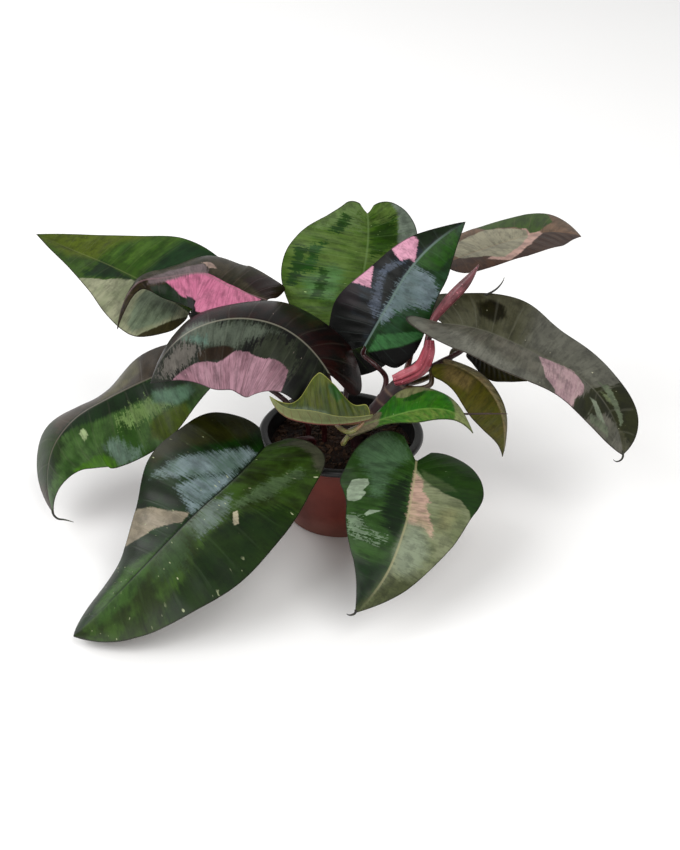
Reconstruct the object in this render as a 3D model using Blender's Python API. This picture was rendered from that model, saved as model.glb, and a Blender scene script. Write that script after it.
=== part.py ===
"""Potted philodendron: a variegated plant in a black grower's pot that stands in a brick-red pot.

Units are metres, +Z is up, and the origin is the middle of the outer pot's foot. x runs to the right
and y away from someone who stands in front of the plant. Leaves are given in millimetres: a rib from
leaf base to leaf tip, and for both halves the widths and the angles at which they hang.
"""

import math

import bmesh
import bpy
import numpy as np
from mathutils import Vector

# driving dimensions
POT_HEIGHT = 0.064
POT_FOOT_RADIUS = 0.038
POT_TOP_RADIUS = 0.0572
POT_WALL = 0.0018
RIM_RADIUS = 0.060
RIM_HEIGHT = 0.0047
GROW_WALL = 0.0012
SOIL_TOP = 0.058
SOIL_CROWN = 0.003
STEM_RADIUS = 0.0062
STEM_TAPER = (1.0, 1.0, 0.9, 0.8)
STALK_RADIUS = 0.0021
BLADE_THICKNESS = 0.0009
GAP = 0.0003
HOLE_DEPTH = 0.012

MM = 0.001
POT_SEGMENTS = 48
BLADE_ROWS = 15
BLADE_COLUMNS = 4
HOLE_SIDES = 16

# name: rib points, direction of half 0, widths of both halves at tenths 1, 3, 5, 7 and 9 of the rib,
# hanging angles of both halves at equal steps, reach of the two lobes behind the leaf base as a share
# of the rib, width of the lobes as a share of the first width, angles of the lobes, and how far both
# halves are swept forward for each mm outwards
LEAVES = {
    "back_left": dict(
        rib=((-116, 72, 127), (-146, 85, 140), (-178, 98, 150), (-206, 110, 156), (-237, 122, 164)),
        side=(-0.4, -1, 0), edge=((57, 53, 37, 21, 8), (56, 54, 39, 24, 9)),
        hang=((5, 5, 0), (-20, -20, -15)), lobe=(0.03, 0.24), shoulder=(0.7, 1), seat=2.1),
    "upper_left": dict(
        rib=((-57, 46, 150), (-84, 54, 156), (-105, 60, 163), (-131, 56, 161), (-151, 46, 160),
             (-163, 22, 135)),
        side=(0, -1, 0), edge=((38, 36, 24, 7, 4), (40, 42, 30, 7, 4)),
        hang=((18, 38, 45, 50, 40), (3, -2, 8, 6, 0)), lobe=(0.12, 0.04)),
    "dark_left": dict(
        rib=((-10, -38, 136), (-40, -31, 165), (-76, -27, 170), (-111, -29, 156), (-133, -34, 122)),
        side=(0, -1, 0), edge=((42, 57, 54, 49, 21), (46, 50, 36, 32, 12)),
        hang=((35, 40, 38, 36, 36), (-18, 4, 8, 4, 2)), lobe=(0.07, 0.18), seat=3.2),
    "left": dict(
        rib=((-97, 6, 122), (-131, 0, 111), (-165, -8, 96), (-191, -15, 81), (-206, -24, 62),
             (-210, -34, 41), (-205, -46, 20)),
        side=(0.1, -1, 0), edge=((38, 49, 55, 43, 19), (42, 41, 26, 35, 20)),
        hang=((8, 47, 33, 34, 30), (5, 1, 13, -12, -28))),
    "front_left": dict(
        rib=((-53, -52, 84), (-69, -78, 77), (-96, -110, 65), (-127, -140, 43), (-152, -158, 22),
             (-171, -174, 9)),
        side=(0.7, -0.7, 0), edge=((51, 62, 64, 50, 29), (62, 68, 51, 30, 18)),
        hang=((9, 6, 6), (-10, -4, 12, 20, 26)), lobe=(0.1, 0.1), seat=2.3),
    "front_right": dict(
        rib=((52, -68, 85), (49, -95, 79), (44, -122, 68), (31, -150, 46), (12, -166, 28)),
        side=(1, 0.2, 0), edge=((50, 43, 34, 21, 7), (53, 45, 40, 29, 11)),
        hang=((15, 15, 15), (15, 15, 15)), lobe=(0.14, 0.22), lobe_hang=(0, -20), seat=2.5),
    "back_middle": dict(
        rib=((15, 82, 204), (16, 79, 186), (14, 72, 166), (6, 58, 130), (-6, 46, 88)),
        side=(1, 0, 0), edge=((36, 37, 46, 46, 28), (48, 61, 62, 46, 13)),
        hang=((10, 10, 10), (12, 16, 18)), lobe=(0.06, 0.085), shoulder=(0.73, 0.5)),
    "right": dict(
        rib=((70, 4, 155), (100, 6, 149), (137, 0, 135), (170, -8, 120), (192, -16, 96), (202, -22, 67)),
        side=(0.2, 1, 0), edge=((38, 48, 36, 28, 20), (36, 38, 40, 29, 16)),
        hang=((-10, -12, -12, -24, -50), (2, 6, 2, 24, 28)), lobe=(0.05, 0.2), lobe_hang=(0, -20),
        seat=2.4),
    "middle": dict(
        rib=((15, 2, 137), (30, 9, 165), (44, 20, 187), (60, 32, 202), (84, 46, 215)),
        side=(-0.7, 0.5, 0.5), edge=((37, 32, 23, 15, 5), (33, 32, 28, 24, 9)),
        hang=((8, 6, 6), (14, 24, 20)), lobe=(0.09, 0.04), seat=2.35),
    "back_right": dict(
        rib=((76, 60, 178), (113, 80, 184), (147, 92, 189), (175, 98, 184)),
        side=(0, 1, 0), edge=((39, 44, 47, 41, 37), (34, 40, 47, 36, 13)),
        hang=((4, 4, 4), (-3, -8, -5)), lobe=(0.08, 0.08), seat=2.2),
    "small_curled": dict(
        rib=((18, -74, 122), (0, -80, 121), (-20, -84, 123), (-38, -84, 128), (-48, -80, 140)),
        side=(0, -1, 0), edge=((8, 12, 14, 12, 5), (11, 27, 34, 14, 5)),
        hang=((-40, -60, -60), (-50, -50, -40)), lobe=(0.03, 0.03), seat=3.4),
    "small_bright": dict(
        rib=((6, -60, 104), (33, -58, 114), (60, -54, 119), (79, -56, 116), (90, -62, 105)),
        side=(0, 1, 0), edge=((5, 24, 34, 24, 4), (6, 6, 11, 9, 4)),
        hang=((12, 2, -2), (32, 20, 28)), lobe=(0.03, 0.03), seat=3.25),
    "lower_right": dict(
        rib=((72, -10, 131), (95, -16, 122), (111, -24, 103), (115, -32, 69)),
        side=(0.6, 0.8, 0), edge=((6, 8, 6, 6, 2), (23, 27, 26, 19, 5)),
        hang=((0, 0, 0), (2, 10, 20)), lobe=(0.03, 0.1)),
    "behind_right": dict(
        rib=((90, 12, 131), (107, 12, 119), (133, 10, 108)),
        side=(0, 1, 0), edge=((8, 12, 12, 8, 3), (10, 14, 14, 9, 3)),
        hang=((0, 0, 0), (20, 20, 20)), lobe=(0.03, 0.03), seat=2.4),
}

# the thick stem, and for each stalk the place where it stands in the soil, or how far up the stem it
# grows, and the points, in mm, that it passes on the way to its leaf base
STEM = ((13, -8), (20, -12, 84), (33, -12, 106), (55, -5, 126))
STALKS = {
    "back_left": ((-14, 14), (-54, 44, 96), (-96, 60, 114)),
    "upper_left": ((-4, 22), (-16, 34, 110), (-36, 42, 136)),
    "dark_left": ((-12, -2), (-14, -14, 94), (-8, -32, 120)),
    "left": ((-24, 4), (-46, 8, 92), (-72, 8, 108)),
    "front_left": ((-20, -16), (-28, -25, 75)),
    "front_right": ((24, -28), (32, -40, 75)),
    "back_middle": ((2, 36), (8, 74, 110), (12, 94, 165)),
}
BRANCHES = {
    "small_bright": (0.35, (4, -38, 84)),
    "small_curled": (0.42, (3, -38, 97), (-4, -62, 110)),
    "middle": (0.56, (31, 1, 112), (23, 0, 123)),
    "lower_right": (0.80, (62, -14, 116)),
    "behind_right": (0.82, (62, 5, 112), (76, 12, 121)),
    "right": (0.95, (69, 1, 126), (86, 6, 136)),
    "back_right": (0.90, (50, 14, 136), (57, 42, 163)),
}
NEW_LEAF = ((56.3, -6.6, 127.8), (58, -6, 138), (60, -1, 148), (63, 4, 158), (72, 5, 172), (84, 6, 187),
            (92, 8, 199))
NEW_LEAF_RADII = (0.0018, 0.0023, 0.0026, 0.0030, 0.0040, 0.0032, 0.0008)
SHEATH = ((36, -16.8, 120), (45, -16.8, 124), (54, -16.8, 130), (58.5, -16.8, 141), (60, -14, 151))
SHEATH_RADII = (0.0030, 0.0046, 0.0048, 0.0044, 0.0028)
ROOT = (0.50, (50, -24, 101), (66, -35, 107), (82, -46, 111), (98, -52, 115), (113, -55, 117))
ROOT_RADIUS = 0.0009
# stalks that end flat under the blade instead of in its notch
UNDER_BLADE = ("back_middle", "right", "small_curled")

# colour, roughness and metallic value of each material
MATERIALS = {
    "brick_red_plastic": ((0.115, 0.026, 0.021), 0.5, 0.0),
    "black_plastic": ((0.012, 0.012, 0.013), 0.42, 0.0),
    "soil": ((0.030, 0.020, 0.014), 0.95, 0.0),
    "stem_bark": ((0.030, 0.016, 0.018), 0.55, 0.0),
    "stalk_burgundy": ((0.075, 0.022, 0.030), 0.4, 0.0),
    "leaf_green": ((0.045, 0.085, 0.032), 0.35, 0.0),
    "leaf_dark": ((0.022, 0.020, 0.020), 0.3, 0.0),
    "leaf_pink": ((0.52, 0.20, 0.29), 0.4, 0.0),
    "leaf_cream": ((0.42, 0.42, 0.28), 0.4, 0.0),
    "leaf_bright": ((0.10, 0.22, 0.04), 0.35, 0.0),
    "leaf_olive": ((0.10, 0.105, 0.05), 0.4, 0.0),
    "sheath_pink": ((0.36, 0.10, 0.12), 0.45, 0.0),
}

LEAF_MATERIALS = {
    "back_left": "leaf_green", "upper_left": "leaf_pink", "dark_left": "leaf_dark",
    "left": "leaf_olive", "front_left": "leaf_green", "front_right": "leaf_green",
    "back_middle": "leaf_green", "right": "leaf_olive", "middle": "leaf_dark",
    "back_right": "leaf_cream", "small_curled": "leaf_bright", "small_bright": "leaf_bright",
    "lower_right": "leaf_olive", "behind_right": "leaf_olive",
}


def clear_scene():
    for thing in list(bpy.data.objects):
        bpy.data.objects.remove(thing, do_unlink=True)


def material(name):
    """Material of that name, made the first time it is asked for."""
    found = bpy.data.materials.get(name)
    if found:
        return found
    colour, roughness, metallic = MATERIALS[name]
    made = bpy.data.materials.new(name)
    made.use_nodes = True
    shader = made.node_tree.nodes["Principled BSDF"]
    shader.inputs["Base Color"].default_value = (*colour, 1.0)
    shader.inputs["Roughness"].default_value = roughness
    shader.inputs["Metallic"].default_value = metallic
    made.diffuse_color = (*colour, 1.0)
    return made


def add_object(name, mesh, material_name):
    thing = bpy.data.objects.new(name, mesh)
    bpy.context.scene.collection.objects.link(thing)
    mesh.materials.append(material(material_name))
    return thing


def mesh_from(name, points, faces):
    mesh = bpy.data.meshes.new(name)
    mesh.from_pydata([tuple(p) for p in points], [], [tuple(f) for f in faces])
    work = bmesh.new()
    work.from_mesh(mesh)
    bmesh.ops.recalc_face_normals(work, faces=work.faces)
    work.to_mesh(mesh)
    work.free()
    return mesh


def lathe(name, profile, material_name, segments=POT_SEGMENTS):
    """Solid of revolution about z of a profile (radius, z) that starts and ends on the axis."""
    points = [(0.0, 0.0, profile[0][1])]
    faces = []
    rings = profile[1:-1]
    for radius, z in rings:
        for k in range(segments):
            turn = 2 * math.pi * k / segments
            points.append((radius * math.cos(turn), radius * math.sin(turn), z))
    points.append((0.0, 0.0, profile[-1][1]))
    last = len(points) - 1
    for k in range(segments):
        after = (k + 1) % segments
        faces.append((0, 1 + after, 1 + k))
        top = 1 + (len(rings) - 1) * segments
        faces.append((last, top + k, top + after))
        for ring in range(len(rings) - 1):
            low = 1 + ring * segments
            high = low + segments
            faces.append((low + k, low + after, high + after, high + k))
    return add_object(name, mesh_from(name, points, faces), material_name)


def smooth_curve(points, count):
    """Curve through the points (cubic, with the slopes of its neighbours), in equal steps."""
    p = np.asarray(points, float)
    knots = np.concatenate([[0.0], np.cumsum(np.linalg.norm(np.diff(p, axis=0), axis=1) ** 0.5)])
    slope = np.gradient(p, knots, axis=0, edge_order=2)
    t = np.linspace(0.0, knots[-1], 40 * len(p))
    i = np.clip(np.searchsorted(knots, t, side="right") - 1, 0, len(p) - 2)
    step = (knots[i + 1] - knots[i])[:, None]
    x = (t - knots[i])[:, None] / step
    curve = ((1 + 2 * x) * (1 - x) ** 2 * p[i] + x * (1 - x) ** 2 * step * slope[i]
             + x * x * (3 - 2 * x) * p[i + 1] + x * x * (x - 1) * step * slope[i + 1])
    along = np.concatenate([[0.0], np.cumsum(np.linalg.norm(np.diff(curve, axis=0), axis=1))])
    steps = np.linspace(0.0, along[-1], count)
    return np.stack([np.interp(steps, along, curve[:, j]) for j in range(p.shape[1])], 1), along[-1]


def tube(name, path, radii, material_name, rings=12, sides=8):
    """Round rod along the path (mm); its radius runs through the given radii, evenly spaced."""
    centre = smooth_curve(path, rings)[0] * MM
    radius = np.interp(np.linspace(0, 1, rings), np.linspace(0, 1, len(radii)), radii)
    points = []
    across = Vector((1.0, 0.0, 0.0))
    for k in range(rings):
        ahead = Vector(centre[min(k + 1, rings - 1)] - centre[max(k - 1, 0)]).normalized()
        across = (across - ahead * across.dot(ahead)).normalized()
        other = ahead.cross(across)
        for j in range(sides):
            turn = 2 * math.pi * j / sides
            spoke = across * math.cos(turn) + other * math.sin(turn)
            points.append(Vector(centre[k]) + spoke * radius[k])
    faces = [tuple(range(sides)), tuple(range((rings - 1) * sides, rings * sides))]
    for k in range(rings - 1):
        for j in range(sides):
            after = (j + 1) % sides
            faces.append((k * sides + j, k * sides + after, (k + 1) * sides + after, (k + 1) * sides + j))
    return add_object(name, mesh_from(name, points, faces), material_name)


def half_outline(count, lobe, shoulder, widths, length):
    """Margin of one half: share of the rib and mm outwards, from the lobe's inner edge to the tip."""
    first = widths[0] * shoulder
    marks = [(-0.8 * lobe, 0.2 * first), (-lobe, 0.5 * first), (-0.6 * lobe, 0.82 * first)]
    marks += list(zip((0.1, 0.3, 0.5, 0.7, 0.9), widths)) + [(1.0, 0.0)]
    curve = smooth_curve([(share * length, out) for share, out in marks], count)[0]
    return curve[:, 0] / length, curve[:, 1].clip(0.0)


def blade_grid(leaf, rows, columns):
    """Middle surface of a blade: for both halves a grid of rows along the veins, in mm.

    A point lies out from the rib, across it, at the hanging angle of its half. The first row is the
    edge of the notch, from the leaf base back to the lobe; the next rows fan out forwards to the tip.
    """
    rib, length = smooth_curve(leaf["rib"], 201)
    along = np.gradient(rib, axis=0)
    along /= np.linalg.norm(along, axis=1)[:, None]
    side = np.asarray(leaf["side"], float)
    side = side - (along @ side)[:, None] * along
    side /= np.linalg.norm(side, axis=1)[:, None]
    up = np.cross(along, side)
    start = np.linspace(0.0, 1.0, rows)
    share_on_rib = start ** 1.35
    outwards = np.linspace(0.0, 1.0, columns + 1)
    stations = np.arange(201)
    halves = []
    for k in (0, 1):
        lobe = leaf.get("lobe", (0.12, 0.12))[k]
        shoulder = leaf.get("shoulder", (1.0, 1.0))[k]
        share, out = half_outline(rows, lobe, shoulder, leaf["edge"][k], length)
        s = share_on_rib[:, None] + (share - share_on_rib)[:, None] * outwards ** 1.1
        q = out[:, None] * outwards
        at = s.clip(0.0, 1.0) * 200
        base, forward, sideways, upward = (
            np.stack([np.interp(at, stations, v[:, j]) for j in range(3)], -1)
            for v in (rib, along, side * (1 - 2 * k), up))
        lobe_hang = math.radians(leaf.get("lobe_hang", (0, 0))[k])
        behind = np.minimum(s, 0.0)[..., None] * length
        base = base + behind * (forward * math.cos(lobe_hang) + upward * math.sin(lobe_hang))
        angles = leaf["hang"][k]
        hang = np.radians(np.interp(s.clip(0.0, 1.0), np.linspace(0, 1, len(angles)), angles))
        sweep = leaf.get("sweep", (0.0, 0.0))[k]
        halves.append(base + sideways * (q * np.cos(hang))[..., None]
                      - upward * (q * np.sin(hang))[..., None] + forward * (sweep * q)[..., None])
    return halves


def blade(name, leaf, material_name):
    """Leaf blade: both halves of the middle surface in triangles, made solid with one thickness."""
    halves = blade_grid(leaf, BLADE_ROWS, BLADE_COLUMNS)
    last = BLADE_ROWS - 1
    work = bmesh.new()
    rib = [work.verts.new(Vector(halves[0][row][0]) * MM) for row in range(BLADE_ROWS)]
    for k, half in enumerate(halves):
        grid = []
        for row in range(BLADE_ROWS):
            tip_row = row == last
            grid.append([rib[row] if column == 0 or tip_row
                         else work.verts.new(Vector(half[row][column]) * MM)
                         for column in range(BLADE_COLUMNS + 1)])
        for row in range(last):
            for column in range(BLADE_COLUMNS):
                a, b = grid[row][column], grid[row][column + 1]
                c, d = grid[row + 1][column + 1], grid[row + 1][column]
                corners = [(a, b, c), (a, c, d)]
                for corner in corners:
                    if len(set(corner)) == 3:
                        work.faces.new(corner if k else corner[::-1])
    bmesh.ops.recalc_face_normals(work, faces=work.faces)
    mesh = bpy.data.meshes.new(name)
    work.to_mesh(mesh)
    work.free()
    thing = add_object(name, mesh, material_name)
    solid = thing.modifiers.new("thickness", "SOLIDIFY")
    solid.thickness = BLADE_THICKNESS
    solid.offset = 0.0
    solid.use_even_offset = False
    return thing


def build_outer_pot():
    foot = POT_FOOT_RADIUS
    top = POT_TOP_RADIUS
    high = POT_HEIGHT
    floor = 0.002
    inner_foot = foot - POT_WALL
    profile = [(0, 0), (foot - 0.0008, 0), (foot, 0.0008), (top, high - 0.0006), (top - 0.0006, high),
               (top - POT_WALL + 0.0004, high), (top - POT_WALL, high - 0.0006),
               (inner_foot, floor), (0, floor)]
    return lathe("outer_pot", profile, "brick_red_plastic")


def build_grow_pot():
    """Thin pot with a rolled rim that lies just above the outer pot's top."""
    low = 0.002 + GAP
    rim_low = POT_HEIGHT + GAP
    rim_top = rim_low + RIM_HEIGHT
    inner_top = POT_TOP_RADIUS - POT_WALL - 2 * GAP
    foot = POT_FOOT_RADIUS - POT_WALL - 2 * GAP
    floor = low + 0.0015
    bead = RIM_HEIGHT / 2
    profile = [(0, low), (foot - 0.001, low), (foot, low + 0.001), (inner_top, rim_low - 0.0008),
               (inner_top, rim_low), (RIM_RADIUS - bead, rim_low)]
    for k in range(1, 6):
        turn = -math.pi / 2 + math.pi * k / 6
        profile.append((RIM_RADIUS - bead + bead * math.cos(turn),
                        rim_low + bead + bead * math.sin(turn)))
    profile += [(RIM_RADIUS - bead, rim_top), (inner_top - 0.0004, rim_top - 0.0002),
                (inner_top - GROW_WALL, rim_top - 0.0014), (inner_top - GROW_WALL, rim_low - 0.0008),
                (foot - GROW_WALL, floor), (0, floor)]
    return lathe("grow_pot", profile, "black_plastic")


def build_soil(standing):
    """Filling with one plain hole for each stem that stands in it; standing holds (x, y, radius)."""
    low = 0.0038 + GAP
    inner_top = POT_TOP_RADIUS - POT_WALL - 2 * GAP - GROW_WALL
    foot = POT_FOOT_RADIUS - POT_WALL - 2 * GAP - GROW_WALL
    slope = (inner_top - foot) / (POT_HEIGHT + GAP - 0.0008 - 0.0038)
    reach = foot + slope * (SOIL_TOP - 0.0038) - 2 * GAP
    profile = [(0, low), (foot - 2 * GAP, low), (reach, SOIL_TOP)]
    for k in range(1, 5):
        share = 1 - k / 5
        profile.append((reach * share, SOIL_TOP + SOIL_CROWN * (1 - share * share)))
    profile.append((0, SOIL_TOP + SOIL_CROWN))
    soil = lathe("soil", profile, "soil", segments=40)
    work = bmesh.new()
    for x, y, radius in standing:
        made = bmesh.ops.create_cone(work, cap_ends=True, segments=HOLE_SIDES, radius1=radius,
                                     radius2=radius, depth=0.03)
        bmesh.ops.translate(work, verts=made["verts"], vec=(x, y, SOIL_TOP - HOLE_DEPTH + 0.015))
    mesh = bpy.data.meshes.new("soil_holes")
    work.to_mesh(mesh)
    work.free()
    cutter = bpy.data.objects.new("soil_holes", mesh)
    bpy.context.scene.collection.objects.link(cutter)
    cutter.hide_render = True
    cutter.display_type = "WIRE"
    cut = soil.modifiers.new("holes", "BOOLEAN")
    cut.operation = "DIFFERENCE"
    cut.solver = "EXACT"
    cut.object = cutter
    return soil


def standing_path(points):
    """Path that rises straight out of its hole in the soil and goes on through the other points."""
    x, y = points[0]
    foot = (SOIL_TOP - HOLE_DEPTH + GAP) / MM
    top = (SOIL_TOP + SOIL_CROWN) / MM
    return [(x, y, foot), (x, y, top + 1), (x, y, top + 8), *points[1:]]


def leaf_end(name):
    """The last two points of a stalk: from below and behind up to its leaf base."""
    leaf = LEAVES[name]
    rib = smooth_curve(leaf["rib"], 201)[0]
    forward = (rib[1] - rib[0]) / np.linalg.norm(rib[1] - rib[0])
    side = np.asarray(leaf["side"], float)
    side = side - forward * (side @ forward)
    up = np.cross(forward, side / np.linalg.norm(side))
    if name in UNDER_BLADE:
        below = (STALK_RADIUS + BLADE_THICKNESS / 2 + GAP) / MM
        return [rib[0] + forward * 14 - up * (below + 4), rib[0] + forward * 2 - up * below]
    return [rib[0] - forward * 8 - up * 7.5, rib[0] - forward - up * leaf.get("seat", 2.7)]


def branch_path(share, points, radius=STALK_RADIUS):
    """Path that starts at the stem's skin, that share of the way up, and goes on through the points."""
    centre = smooth_curve(standing_path(STEM), 201)[0]
    at = int(share * 200)
    along = centre[min(at + 1, 200)] - centre[at - 1]
    along /= np.linalg.norm(along)
    way = np.asarray(points[0], float) - centre[at]
    out = way - along * (way @ along)
    lean = abs(way @ along) / np.linalg.norm(way)
    skin = np.interp(share, np.linspace(0, 1, len(STEM_TAPER)), STEM_TAPER) * STEM_RADIUS
    return [centre[at] + out / np.linalg.norm(out) * (skin + 2 * GAP + radius * lean) / MM, *points]


def build_stems():
    """The thick stem and the stalks; returns the holes that they need in the soil."""
    standing = []
    room = 1.0 / math.cos(math.pi / HOLE_SIDES)
    tube("main_stem", standing_path(STEM), [STEM_RADIUS * taper for taper in STEM_TAPER], "stem_bark",
         rings=16, sides=14)
    standing.append((STEM[0][0] * MM, STEM[0][1] * MM, (STEM_RADIUS + GAP) * room))
    for name, points in STALKS.items():
        tube("stalk_" + name, standing_path(points) + leaf_end(name), (STALK_RADIUS, STALK_RADIUS),
             "stalk_burgundy", rings=15)
        standing.append((points[0][0] * MM, points[0][1] * MM, (STALK_RADIUS + GAP) * room))
    for name, (share, *points) in BRANCHES.items():
        tube("stalk_" + name, branch_path(share, points) + leaf_end(name), (STALK_RADIUS, STALK_RADIUS),
             "stalk_burgundy", rings=10)
    tube("new_leaf", NEW_LEAF, NEW_LEAF_RADII, "sheath_pink")
    tube("sheath", SHEATH, SHEATH_RADII, "sheath_pink")
    share, *points = ROOT
    tube("root", branch_path(share, points, ROOT_RADIUS), (ROOT_RADIUS, 0.7 * ROOT_RADIUS), "stem_bark",
         sides=6)
    return standing


def main():
    clear_scene()
    build_outer_pot()
    build_grow_pot()
    standing = build_stems()
    build_soil(standing)
    for name, leaf in LEAVES.items():
        blade("leaf_" + name, leaf, LEAF_MATERIALS[name])


main()
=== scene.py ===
"""Potted philodendron: the finished look of a variegated plant in its two pots.

+Z is up, and the origin is the middle of the outer pot's foot. Shapes are worked out in millimetres and
brought to metres by make_piece(); the stage is in metres. A leaf is a closed sheet worked out on a grid:
its rows are the lateral veins, which run from the rib to the margin, and its columns are shares of the
width. Colours are given as they look on a screen, from 0 to 255, and are turned into light by paint().
"""

import math

import bpy
import numpy as np
from mathutils import Matrix, Vector


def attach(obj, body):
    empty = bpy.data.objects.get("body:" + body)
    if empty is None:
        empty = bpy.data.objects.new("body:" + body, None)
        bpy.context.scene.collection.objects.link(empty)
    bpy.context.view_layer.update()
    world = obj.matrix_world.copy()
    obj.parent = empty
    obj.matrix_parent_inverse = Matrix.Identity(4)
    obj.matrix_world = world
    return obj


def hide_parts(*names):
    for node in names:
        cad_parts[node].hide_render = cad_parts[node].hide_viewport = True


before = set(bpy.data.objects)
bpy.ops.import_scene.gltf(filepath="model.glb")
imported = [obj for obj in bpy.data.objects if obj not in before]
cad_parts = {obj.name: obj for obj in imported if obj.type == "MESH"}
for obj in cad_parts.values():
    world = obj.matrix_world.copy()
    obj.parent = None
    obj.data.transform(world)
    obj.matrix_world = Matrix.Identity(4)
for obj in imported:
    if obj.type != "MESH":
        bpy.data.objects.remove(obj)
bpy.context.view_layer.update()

bl_info = {
    "name": "Potted philodendron",
    "version": (1, 0, 0),
    "blender": (4, 5, 0),
    "location": "3D View > Sidebar > Plant",
    "description": "Builds a variegated philodendron in a grower's pot inside a brick-red pot",
    "category": "Add Mesh",
}

MM = 0.001

# name: rib points, direction of half 0, widths of both halves at tenths 1, 3, 5, 7 and 9 of the rib,
# hanging angles of both halves at equal steps, reach of the two lobes behind the leaf base as a share
# of the rib, width of the lobes as a share of the first width, and angles of the lobes
LEAVES = {
    "back_left": dict(
        rib=((-116, 72, 127), (-146, 85, 140), (-178, 98, 150), (-206, 110, 156), (-237, 122, 164)),
        side=(-0.4, -1, 0), edge=((57, 53, 37, 21, 8), (56, 54, 39, 24, 9)),
        hang=((5, 5, 0), (-20, -20, -15)), lobe=(0.03, 0.24), shoulder=(0.7, 1)),
    "upper_left": dict(
        rib=((-57, 46, 150), (-84, 54, 156), (-105, 60, 163), (-131, 56, 161), (-151, 46, 160),
             (-163, 22, 135)),
        side=(0, -1, 0), edge=((38, 36, 24, 7, 4), (40, 42, 30, 7, 4)),
        hang=((18, 38, 45, 50, 40), (3, -2, 8, 6, 0)), lobe=(0.12, 0.04)),
    "dark_left": dict(
        rib=((-10, -38, 136), (-40, -31, 165), (-76, -27, 170), (-111, -29, 156), (-133, -34, 122)),
        side=(0, -1, 0), edge=((42, 57, 54, 49, 21), (46, 50, 36, 32, 12)),
        hang=((35, 40, 38, 36, 36), (-18, 4, 8, 4, 2)), lobe=(0.07, 0.18)),
    "left": dict(
        rib=((-97, 6, 122), (-131, 0, 111), (-165, -8, 96), (-191, -15, 81), (-206, -24, 62),
             (-210, -34, 41), (-205, -46, 20)),
        side=(0.1, -1, 0), edge=((38, 49, 55, 43, 19), (42, 41, 26, 35, 20)),
        hang=((8, 47, 33, 34, 30), (5, 1, 13, -12, -28))),
    "front_left": dict(
        rib=((-53, -52, 84), (-69, -78, 77), (-96, -110, 65), (-127, -140, 43), (-152, -158, 22),
             (-171, -174, 9)),
        side=(0.7, -0.7, 0), edge=((51, 62, 64, 50, 29), (62, 68, 51, 30, 18)),
        hang=((9, 6, 6), (-10, -4, 12, 20, 26)), lobe=(0.1, 0.1)),
    "front_right": dict(
        rib=((52, -68, 85), (49, -95, 79), (44, -122, 68), (31, -150, 46), (12, -166, 28)),
        side=(1, 0.2, 0), edge=((50, 43, 34, 21, 7), (53, 45, 40, 29, 11)),
        hang=((15, 15, 15), (15, 15, 15)), lobe=(0.14, 0.22), lobe_hang=(0, -20)),
    "back_middle": dict(
        rib=((15, 82, 204), (16, 79, 186), (14, 72, 166), (6, 58, 130), (-6, 46, 88)),
        side=(1, 0, 0), edge=((36, 37, 46, 46, 28), (48, 61, 62, 46, 13)),
        hang=((10, 10, 10), (12, 16, 18)), lobe=(0.06, 0.085), shoulder=(0.73, 0.5)),
    "right": dict(
        rib=((70, 4, 155), (100, 6, 149), (137, 0, 135), (170, -8, 120), (192, -16, 96), (202, -22, 67)),
        side=(0.2, 1, 0), edge=((38, 48, 36, 28, 20), (36, 38, 40, 29, 16)),
        hang=((-10, -12, -12, -24, -50), (2, 6, 2, 24, 28)), lobe=(0.05, 0.2), lobe_hang=(0, -20)),
    "middle": dict(
        rib=((15, 2, 137), (30, 9, 165), (44, 20, 187), (60, 32, 202), (84, 46, 215)),
        side=(-0.7, 0.5, 0.5), edge=((37, 32, 23, 15, 5), (33, 32, 28, 24, 9)),
        hang=((8, 6, 6), (14, 24, 20)), lobe=(0.09, 0.04)),
    "back_right": dict(
        rib=((76, 60, 178), (113, 80, 184), (147, 92, 189), (175, 98, 184)),
        side=(0, 1, 0), edge=((39, 44, 47, 41, 37), (34, 40, 47, 36, 13)),
        hang=((4, 4, 4), (-3, -8, -5)), lobe=(0.08, 0.08)),
    "small_curled": dict(
        rib=((18, -74, 122), (0, -80, 121), (-20, -84, 123), (-38, -84, 128), (-48, -80, 140)),
        side=(0, -1, 0), edge=((8, 12, 14, 12, 5), (11, 27, 34, 14, 5)),
        hang=((-40, -60, -60), (-50, -50, -40)), lobe=(0.03, 0.03)),
    "small_bright": dict(
        rib=((6, -60, 104), (33, -58, 114), (60, -54, 119), (79, -56, 116), (90, -62, 105)),
        side=(0, 1, 0), edge=((5, 24, 34, 24, 4), (6, 6, 11, 9, 4)),
        hang=((12, 2, -2), (32, 20, 28)), lobe=(0.03, 0.03)),
    "lower_right": dict(
        rib=((72, -10, 131), (95, -16, 122), (111, -24, 103), (115, -32, 69)),
        side=(0.6, 0.8, 0), edge=((6, 8, 6, 6, 2), (23, 27, 26, 19, 5)),
        hang=((0, 0, 0), (2, 10, 20)), lobe=(0.03, 0.1)),
    "behind_right": dict(
        rib=((90, 12, 131), (107, 12, 119), (133, 10, 108)),
        side=(0, 1, 0), edge=((8, 12, 12, 8, 3), (10, 14, 14, 9, 3)),
        hang=((0, 0, 0), (20, 20, 20)), lobe=(0.03, 0.03)),
}

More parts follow.
